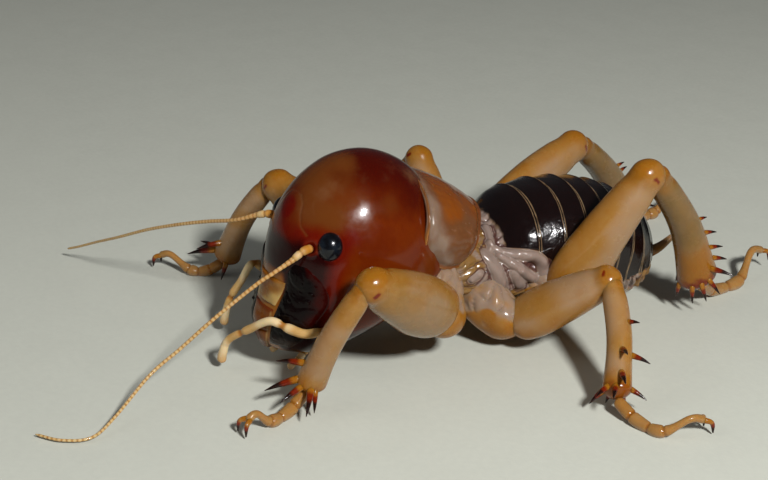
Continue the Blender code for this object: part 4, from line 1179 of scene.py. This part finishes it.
def palps(looks):
    """The long jaw palps and the short lip palps."""
    for word, places in PALPS.items():
        build = Build()
        jointed(build, places, PALP_HALF, PALP_JOINTS[word])
        build.make(f"palp_jointed_{word}", looks["feeler"], "cream", f"palp_{word}")
        side = SIDES[word]
        small = [in_head((side * x, y - HEAD_CENTRE[1], z - HEAD_CENTRE[2])) for x, y, z in LABIAL_PALP]
        build = Build()
        jointed(build, small, LABIAL_HALF, LABIAL_JOINTS)
        build.make(f"labial_palp_jointed_{word}", looks["feeler"], "cream", f"labial_palp_{word}")


def swing(points, stations):
    """Trunk points after the front of the body is swung to the left."""
    share = cut((SWING_FROM - stations) / (SWING_FROM - SWING_TO))
    return SWING_PIVOT + turned(points - SWING_PIVOT, SWING * share)


def chain_distance(points, places):
    """Distance of points from a chain of straight runs."""
    nearest = np.full(points.shape[:-1], 1e9)
    for start, end in zip(places, places[1:]):
        run = end - start
        t = cut((points - start) @ run / (run @ run))
        nearest = np.minimum(nearest, np.linalg.norm(points - start - t[..., None] * run, axis=-1))
    return nearest


def fold_fields(points):
    """Height of the rolled folds, their nearness, the grooves along them and the distance to the hollow."""
    mirrored = np.abs(points) * (1, 0, 0) + points * (0, 1, 1)
    height, near, groove = (np.zeros(points.shape[:-1]) for _ in range(3))
    for fold in FOLDS:
        half = fold["half"]
        away = chain_distance(mirrored, Path(fold["places"], 3).points)
        profile = cut(1 - (away / half) ** 2)
        uneven = 1 + 0.35 * lumps(points, 1.3, 54)
        height = np.maximum(height, fold["rise"] * uneven * profile - 0.1 * hump(away, half * 1.05, 0.12))
        near = np.maximum(near, smooth(-away, -half * 1.25, -half * 0.8))
        groove = np.maximum(groove, hump(away, half * 1.1, 0.16))
    return height, near, groove * (1 - near), np.linalg.norm(mirrored - np.array(FOLD_HOLLOW), axis=-1)


def body_skin(looks):
    """One seamless skin for thorax and abdomen: plates above, soft folds at the sides, belly plates."""
    rows, columns = BODY_GRID
    stations, turn = grid_of(np.linspace(*TRUNK_ENDS, rows), round_turns(columns))
    wide, top, low = table_at(TRUNK, stations)
    tall, middle = (top - low) / 2, (top + low) / 2
    power = 2 / TRUNK_SQUARENESS
    c, s = np.cos(turn), np.sin(turn)
    out_x = np.copysign(np.abs(c) ** power, c)
    out_z = np.copysign(np.abs(s) ** power, s)
    lean = np.interp(stations, *zip(*TRUNK_LEAN))
    z = middle + out_z * tall
    plain = np.stack([out_x * wide, stations + lean * (z - LEAN_LEVEL), z], -1)
    upright = PLATE_UPRIGHT * smooth(stations, 0.0, 3.0) * smooth(-stations, -19.0, -13.0)
    pattern = stations - upright * (np.maximum(z, 5.0) - LEAN_LEVEL)
    plate_share = np.zeros_like(stations)
    past_margin = np.full_like(stations, FAR)
    to_margin = np.full_like(stations, FAR)
    margins = THORAX_MARGINS + PLATE_MARGINS
    for before, margin in zip((FIRST_MARGIN,) + margins, margins):
        inside = (pattern > before) & (pattern <= margin)
        plate_share = np.where(inside, (pattern - before) / (margin - before), plate_share)
        to_margin = np.where(inside, margin - pattern, to_margin)
        past_margin = np.where(inside, pattern - before, past_margin)
    edge = 0.1 * lumps(plain, 1.4, 31)
    lower = np.interp(stations, *zip(*PLATE_EDGE))
    tergite = smooth(s + edge, lower - 0.04, lower + 0.04)
    abdomen = smooth(pattern + 0.25 * lumps(plain, 1.2, 37), 1.5, 2.05)
    sternite = smooth(-s + 0.5 * edge, 0.62, 0.72)
    soft = (1 - tergite * abdomen) * (1 - sternite)
    fade = smooth(-stations, -19.9, -18.8)
    step = PLATE_STEP * plate_share**2 - 0.08 * hump(past_margin, 0.0, 0.12)
    rise = step * np.maximum(tergite * abdomen, 0.6 * sternite) * fade
    rise += 0.04 * hump(to_margin, 0.1, 0.08) * tergite * abdomen * fade
    sides = smooth(plain[..., 1], 4.5, 6.5)
    pleats = 0.16 * np.sin(stations * 2 * math.pi / 1.15 + 2.2 * lumps(plain, 4.0, 32)) * sides
    warped = warp(plain, 0.5, 3.0, (51, 52, 53))
    creases = folds(warped, 2.6, 33)
    wrinkles = folds(warped * (1.0, 0.6, 1.0), 0.95, 38)
    rise += soft * (pleats + 0.34 * creases + 0.2 * wrinkles - 0.3) * fade
    fold_height, fold_near, painted_groove_shade, hollow_away = fold_fields(plain)
    hollow = hump(hollow_away, 0.0, 0.6)
    rise = rise * (1 - fold_near) + fold_height - 0.4 * hollow
    rise += 0.02 * lumps(plain, 1.6, 35) * fade
    rise -= FRONT_SINK * smooth(-pattern, -3.9, -1.2) * smooth(s, 0.0, 0.6)
    outward = unit(np.stack([out_x / wide, np.zeros_like(z), out_z / tall], -1))
    points = swing(plain + outward * rise[..., None], stations)
    ends = swing(np.array(TRUNK_TIPS), np.array(TRUNK_ENDS))
    lines = np.maximum(hump(to_margin, 0.0, 0.08), 0.7 * hump(past_margin, 0.3, 0.06))
    lines *= tergite * smooth(pattern, 3.5, 4.0) * fade
    lines *= 0.8 + 0.3 * lumps(plain, 0.8, 39)
    shade = smooth(lumps(warped, 2.5, 36), -0.15, 0.6)
    front_band = hump(pattern, 1.1, 0.7) * smooth(s, 0.2, 0.45)
    warm = 0.5 * sternite + soft * (1 - shade) + hump(hollow_away, 0.75, 0.3)
    # Painted shade: the creases of the soft skin, the hollow inside the loop fold and the grooves beside
    # the folds are darkened.
    red = 0.8 * soft * smooth(-creases, -0.5, -0.15) + 1.2 * hollow + painted_groove_shade
    build = Build()
    build.tube(
        points,
        ends,
        dark=tergite * abdomen - lines - 1.5 * fold_near,
        band=lines,
        pale=soft * (0.1 + 0.65 * shade) + front_band + 0.7 * fold_near,
        warm=cut(warm) * (1 - fold_near),
        red=cut(red) * (1 - 0.8 * fold_near),
    )
    build.make("body_skin", looks["body"], "abdomen", "prothorax", "mesothorax", "metathorax", "abdomen")


def pronotum_shield(looks):
    """The saddle-shaped shield with its rolled rim."""
    rows, columns = PRONOTUM_GRID
    low, high = -PRONOTUM_TURN_IN, math.pi + PRONOTUM_TURN_IN
    share, turn = grid_of(np.linspace(0.0, 1.0, rows), np.linspace(low, high, columns))
    wide, top, edge = table_at(PRONOTUM, share)
    middle = edge + wide * PRONOTUM_MIDDLE
    s, c = np.sin(turn), np.cos(turn)

    def surface(grow):
        tall = np.where(s > 0, top - middle, (middle - edge) / math.sin(PRONOTUM_TURN_IN))
        x = c * (wide + grow)
        z = middle + s * (tall + grow)
        lobe = PRONOTUM_CORNER * np.maximum(0.0, -s)
        front = PRONOTUM_FRONT[0] + PRONOTUM_FRONT[1] * s + 0.6 * lobe
        rear = PRONOTUM_REAR[0] + PRONOTUM_REAR[1] * np.maximum(0.0, s) ** 2 - lobe
        return np.stack([x, front + (rear - front) * share, z], -1)

    plain = surface(0.0)
    y, z = plain[..., 1], plain[..., 2]
    side_share = (turn - low) / (high - low)
    from_ends = 9.0 * np.minimum(share, 1 - share)
    from_edge = np.minimum(from_ends, 22.0 * np.minimum(side_share, 1 - side_share))
    rim = hump(from_edge, 0.16, 0.13)
    rise = 0.07 * rim - 0.1 * hump(from_edge, 0.6, 0.25) + 0.05 * lumps(plain, 2.4, 41)
    rise += 0.015 * lumps(plain, 0.9, 42) - 0.16 * hump(share, 0.22, 0.08) * smooth(-s, -0.95, -0.2)
    rise += 0.22 * hump(y, -3.9, 1.4) * hump(z, 11.6, 1.5) + 0.1 * hump(y, -6.8, 1.1) * hump(z, 11.4, 1.3)
    rise -= 0.2 * (1 - smooth(from_edge, 0.0, 0.25))
    outer = surface(rise)
    inner = surface(rise * 0.3 - PRONOTUM_THICK)
    mottled = lumps(plain, 2.6, 43)
    streak = lumps(plain * (0.3, 1.6, 0.3), 1.1, 45)
    patch = 1.2 * hump(y, -4.7, 1.7) * smooth(z, 12.8, 14.2)
    patch += smooth(y, -3.4, -2.0) * smooth(z, 11.8, 13.4)
    patch = cut(patch * (0.95 + 0.2 * streak))
    veil = smooth(-y, 5.6, 7.2) * smooth(-from_edge, -9.0, -0.5)
    veil += 0.7 * hump(y, -6.6, 1.2) * smooth(-z, -13.0, -11.5)
    veil = cut(veil * (0.8 + 0.5 * mottled)) * (1 - patch)
    red = 0.3 * patch * smooth(streak, 0.0, 1.0) + 0.5 * smooth(share, 0.9, 0.97) * (1 - rim)
    low_rim = smooth(-from_edge, -0.9, -0.2) * smooth(-s, -0.3, 0.2)
    build = Build()
    build.sheet(
        swing(outer, np.full_like(share, SWING_TO)),
        swing(inner, np.full_like(share, SWING_TO)),
        band=0.7 * rim * smooth(-s, -0.3, 0.3) + 0.3 * rim,
        warm=cut(0.9 * patch + 0.7 * low_rim) * (1 - rim),
        pale=veil * (1 - rim) * (1 - low_rim),
        red=red,
    )
    build.make("pronotum_shield", looks["pronotum"], "pronotum", "pronotum")


def cerci(looks):
    """The two tapered tails."""
    for word, side in SIDES.items():
        places = [(side * x, y, z) for x, y, z in CERCUS]
        sizes = round_sizes(*CERCUS_SIZES)
        rings, ends, share, _ = limb("cercus", places, sizes, (1, 0, 0))
        marks = {"pale": 0.8 * share, "warm": 0.4 * (1 - share), "red": 0.2 * hump(share, 0.2, 0.1)}
        build = Build()
        build.tube(rings, ends, **marks)
        build.make(f"cercus_tapered_{word}", looks["leg"], "leg", f"cercus_{word}")


def kind_of(name):
    """Fore, mid or hind."""
    return name.split("_")[0]


def leg_points(name):
    """A leg's places and the way across the plane that it bends in."""
    leg = {key: np.array(value, float) for key, value in LEGS[name].items()}
    across = unit(np.cross(leg["knee"] - leg["hip"], leg["ankle"] - leg["knee"]))
    return leg, across


def add_coxa(build, name):
    """The thick hip joint, horny below and soft above."""
    leg, across = leg_points(name)
    start, end = leg["coxa"]
    way = unit(end - start)

    def shape(share, turn):
        return 1 + 0.04 * np.sin(3 * turn + 5 * share)

    places = (start - way * COXA_REACH, end + way * COXA_REACH)
    rings, ends, _, _ = limb("coxa", places, COXA_SIZES[kind_of(name)], across, shape)
    level = rings[..., 2] - rings[..., 2].min()
    upper = smooth(level / level.max() + 0.2 * lumps(rings, 1.6, 56), 0.38, 0.72)
    warped = warp(rings, 0.4, 2.2, (57, 58, 59))
    creases = folds(warped, 1.9, 60)
    middle = rings.mean(axis=1, keepdims=True)
    outward = unit(rings - middle)
    rings = rings + outward * (upper * (0.3 * creases - 0.22))[..., None]
    blotch = lumps(rings, 1.8, 55)
    build.tube(
        rings,
        ends,
        warm=(1 - upper) * (0.75 + 0.5 * blotch),
        band=upper * (0.75 + 0.4 * blotch),
        pale=0.5 * upper,
        # Painted shade: the creases of the coxa's soft upper side are darkened.
        red=0.35 * upper * smooth(-creases, -0.35, -0.1),
    )


def add_femur(build, name):
    """The stout upper leg with a groove, orange edges painted as light shining through, and a spot at the
    knee.
    """
    leg, across = leg_points(name)
    hip, knee = leg["hip"], leg["knee"]
    way = unit(knee - hip)
    middle = (hip + knee) / 2 + np.array((0.0, 0.0, FEMUR_BOW.get(name, 0.0)))
    places = (hip - way * FEMUR_REACH, middle, knee + way * FEMUR_REACH)

    def shape(share, turn):
        groove = -0.06 * hump(np.cos(turn - math.pi / 2), 1.0, 0.25) * smooth(share, 0.3, 0.5)
        neck = -0.06 * hump(share, 0.84, 0.05)
        return 1 + groove + neck

    rings, ends, share, turn = limb("femur", places, FEMUR_SIZES[kind_of(name)], across, shape)
    blotch = lumps(rings, 4.5, 61)
    streak = lumps(rings * (1.0, 1.0, 0.5), 2.2, 62)
    knee_mark = smooth(share, 0.78, 0.95)
    root = smooth(-share, -0.28, -0.08)
    ragged = share + 0.006 * lumps(rings, 0.7, 63)
    spot = hump(ragged, 0.928, 0.01) * hump(np.abs(np.cos(turn - 0.1)), 1.0, 0.03)
    # Painted light: the edges turn orange and the middle paler, as if light shone through the shell.
    edge = smooth(np.abs(np.sin(turn)), 0.55, 1.0)
    build.tube(
        rings,
        ends,
        warm=0.55 * knee_mark + 0.35 * smooth(streak, 0.0, 1.2) + 0.4 * root + 0.4 * edge,
        pale=(0.9 * smooth(blotch, -1.3, 0.9) - 0.4 * edge) * (1 - 0.7 * knee_mark),
        red=1.4 * spot,
        shade=FEMUR_SHADE.get(kind_of(name), 0.0) * (1 - 0.5 * knee_mark),
    )


def tibia_places(name):
    """Places of a tibia, which bows a little outwards, with the ways across it and to its outer side."""
    leg, across = leg_points(name)
    knee, ankle = leg["knee"], leg["ankle"]
    out = unit(np.cross(across, ankle - knee))
    middle = (knee + ankle) / 2 - out * TIBIA_BOW * np.linalg.norm(ankle - knee)
    return (knee, middle, ankle), across, -out


def add_tibia(build, name):
    """The lower leg, keeled and darker to its end."""
    places, across, _ = tibia_places(name)

    def shape(share, turn):
        keel = 0.05 * hump(np.sin(turn + math.pi / 2), 1.0, 0.4) * smooth(share, 0.2, 0.5)
        rim = 0.08 * hump(share, 0.93, 0.03)
        neck = -0.12 * hump(share, 0.1, 0.06)
        return 1 + keel + rim + neck

    rings, ends, share, turn = limb("tibia", places, TIBIA_SIZES[kind_of(name)], across, shape)
    blotch = lumps(rings, 3.0, 71)
    low_share, high_share = TIBIA_END[kind_of(name)]
    end = smooth(share, low_share, high_share)
    tip = smooth(share + 0.03 * lumps(rings, 1.0, 72), 0.82, 0.93)
    head = smooth(-share, -0.22, -0.08)
    # Painted light: the edges turn orange and the middle paler, as if light shone through the shell.
    edge = smooth(np.abs(np.sin(turn)), 0.6, 1.0)
    build.tube(
        rings,
        ends,
        warm=1.1 * end + 0.35 * head + 0.25 * smooth(blotch, 0.2, 1.2) + 0.35 * edge,
        pale=0.85 * smooth(blotch, -1.3, 0.8) * (1 - end) * (1 - 0.6 * head),
        # Painted shade on the hind tibiae; a darker tone on the others.
        shade=TIBIA_SHADE[kind_of(name)] * (1 - 0.5 * end),
        red=TIBIA_END_RED[kind_of(name)] * tip + 0.3 * hump(share, 0.05, 0.03),
    )


def add_spines(build, name):
    """The spines along the tibia and the spurs round its end."""
    kind = kind_of(name)
    places, across, outer = tibia_places(name)
    path = Path(places)
    mirrored = SIDES[name.split("_")[1]]
    for share, angle, size, tilt in SPINES[kind]:
        centre, way = path.at(share * path.length)
        turn = math.radians(angle) * mirrored
        side = across * math.sin(turn) + outer * math.cos(turn)
        wide, deep = table_at(TIBIA_SIZES[kind], share)
        surface = 1 / math.hypot(math.sin(turn) / wide, math.cos(turn) / deep)
        lean = unit(side + way * tilt)
        foot = centre + side * surface
        if lean[2] < 0:
            size = min(size, (foot[2] - SPINE_CLEAR) / -lean[2])
        half = SPINE_HALF + SPINE_HALF_PER_MM * size
        tip = foot + lean * size
        bend = foot + lean * size * 0.5 - way * 0.05 * size
        sizes = round_sizes((0.0, half), (0.25, half), (0.7, half * 0.55), (1.0, SPINE_TIP))
        places = (foot - lean * SPINE_SINK, bend, tip)
        rings, ends, along, _ = limb("spine", places, sizes, across)
        root = SPINE_SINK / (size + SPINE_SINK)
        share_out = cut((along - root) / (1 - root))
        build.tube(
            rings,
            ends,
            warm=smooth(-share_out, -0.5, -0.1),
            red=smooth(share_out, 0.0, 0.3),
            dark=smooth(share_out, 0.3, 0.62),
        )


def add_foot(build, name):
    """The foot: three short joints with pads on the floor, a long thin last joint and two claws."""
    leg, _ = leg_points(name)
    half = FOOT_HALF[kind_of(name)]
    heel, ball_of_foot, arch = leg["foot"]
    places = np.array([leg["ankle"], heel, ball_of_foot, arch, leg["claw"]])
    across = unit(np.cross((0.0, 0.0, 1.0), ball_of_foot - heel))
    lengths = np.concatenate([[0.0], np.cumsum(np.linalg.norm(np.diff(places, axis=0), axis=1))])
    at_heel, at_ball, at_arch = lengths[1:4] / lengths[-1]
    sizes = [
        (share, half * wide, half * deep)
        for share, wide, deep in (
            (0.0, 0.9, 0.85),
            (at_heel, 1.0, 0.95),
            ((at_heel + at_ball) / 2, 0.85, 0.85),
            (at_ball - 0.03, 1.0, 0.95),
            ((at_ball + at_arch) / 2, 0.55, 0.55),
            (1.0, 0.65, 0.6),
        )
    ]
    joints = (at_heel * 0.75, (at_heel + at_ball) / 2, at_ball + 0.02)

    def shape(share, _):
        return 1 - sum(0.16 * hump(share, joint, 0.014) for joint in joints)

    rings, ends, share, _ = limb("foot", places, sizes, across, shape)
    rings[..., 2] = np.maximum(rings[..., 2], 0.0)
    under = smooth(-rings[..., 2], -0.5, -0.1)
    creases = sum(hump(share, joint, 0.02) for joint in joints)
    build.tube(
        rings,
        ends,
        pale=0.8 * under + 0.3,
        warm=0.5 * creases + 0.45 * smooth(-share, -0.4, -0.1),
        red=0.35 * creases,
    )
    claw, way = leg["claw"], unit((leg["claw"] - arch) * (1.0, 1.0, 0.0))
    for side in (-1, 1):
        out = turned(way, side * CLAW_SPREAD)
        root = claw + unit(arch - claw) * CLAW_SINK - np.cross(way, (0.0, 0.0, 1.0)) * side * CLAW_APART
        middle = root + out * CLAW_REACH * 0.8 - (0.0, 0.0, CLAW_DROP * 0.2)
        tip = root + out * CLAW_REACH - (0.0, 0.0, CLAW_DROP)
        tip[2] = max(0.2, tip[2])
        rings, ends, share, _ = limb("claw", (root, middle, tip), CLAW_SIZES, across)
        build.tube(
            rings,
            ends,
            warm=smooth(-share, -0.55, -0.2),
            red=smooth(share, 0.3, 0.6),
            dark=smooth(share, 0.5, 0.8),
        )


def legs(looks):
    """Six legs, each one piece."""
    for name in LEGS:
        build = Build()
        add_coxa(build, name)
        add_femur(build, name)
        add_tibia(build, name)
        add_spines(build, name)
        add_foot(build, name)
        nodes = [f"{part}_{name}" for part in ("coxa", "femur", "tibia", "tarsus")]
        build.make(f"leg_{name}", looks["leg"], "leg", *nodes)


def to_frame(place):
    """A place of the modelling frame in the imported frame."""
    return Vector((np.array(place, float) + ORIGIN) * MM)


def aimed(obj, place, aim, roll=0.0):
    """Puts an object at a place, its -Z axis towards the aim, rolled about that axis."""
    place, aim = to_frame(place), to_frame(aim)
    turn = (aim - place).to_track_quat("-Z", "Y")
    obj.location = place
    obj.rotation_mode = "QUATERNION"
    obj.rotation_quaternion = turn @ Quaternion((0.0, 0.0, 1.0), roll)


def studio():
    """Camera, soft lights, plain world and pale floor."""
    data = bpy.data.cameras.new("camera")
    data.sensor_width = CAMERA_FRAME
    data.lens = CAMERA_LENS
    data.clip_start, data.clip_end = CAMERA_RANGE
    camera = placed("camera", data)
    aimed(camera, CAMERA_PLACE, CAMERA_AIM, CAMERA_ROLL)
    bpy.context.scene.camera = camera
    for name, (place, size, power) in LIGHTS.items():
        data = bpy.data.lights.new(name, "AREA")
        data.shape = "DISK"
        data.size = size * MM
        data.energy = power
        light = placed(name, data)
        light.visible_glossy = name == "key"
        aimed(light, place, LIGHT_AIM)
    world = bpy.data.worlds.new("world")
    world.use_nodes = True
    background = world.node_tree.nodes["Background"]
    background.inputs["Color"].default_value = (*WORLD_COLOUR, 1.0)
    background.inputs["Strength"].default_value = WORLD_STRENGTH
    bpy.context.scene.world = world
    bpy.context.scene.view_settings.view_transform = "Standard"
    half = FLOOR_SIDE * MM / 2
    corners = [(-half, -half, 0.0), (half, -half, 0.0), (half, half, 0.0), (-half, half, 0.0)]
    data = bpy.data.meshes.new("floor")
    data.from_pydata(corners, [], [(0, 1, 2, 3)])
    data.materials.append(floor_look())
    placed("floor", data)


def main():
    """Builds every piece and the studio."""
    looks = make_looks()
    face = Face()
    head_capsule(face, looks)
    eyes(face, looks)
    mouth(face, looks)
    antennae(looks)
    palps(looks)
    body_skin(looks)
    pronotum_shield(looks)
    cerci(looks)
    legs(looks)
    studio()


main()
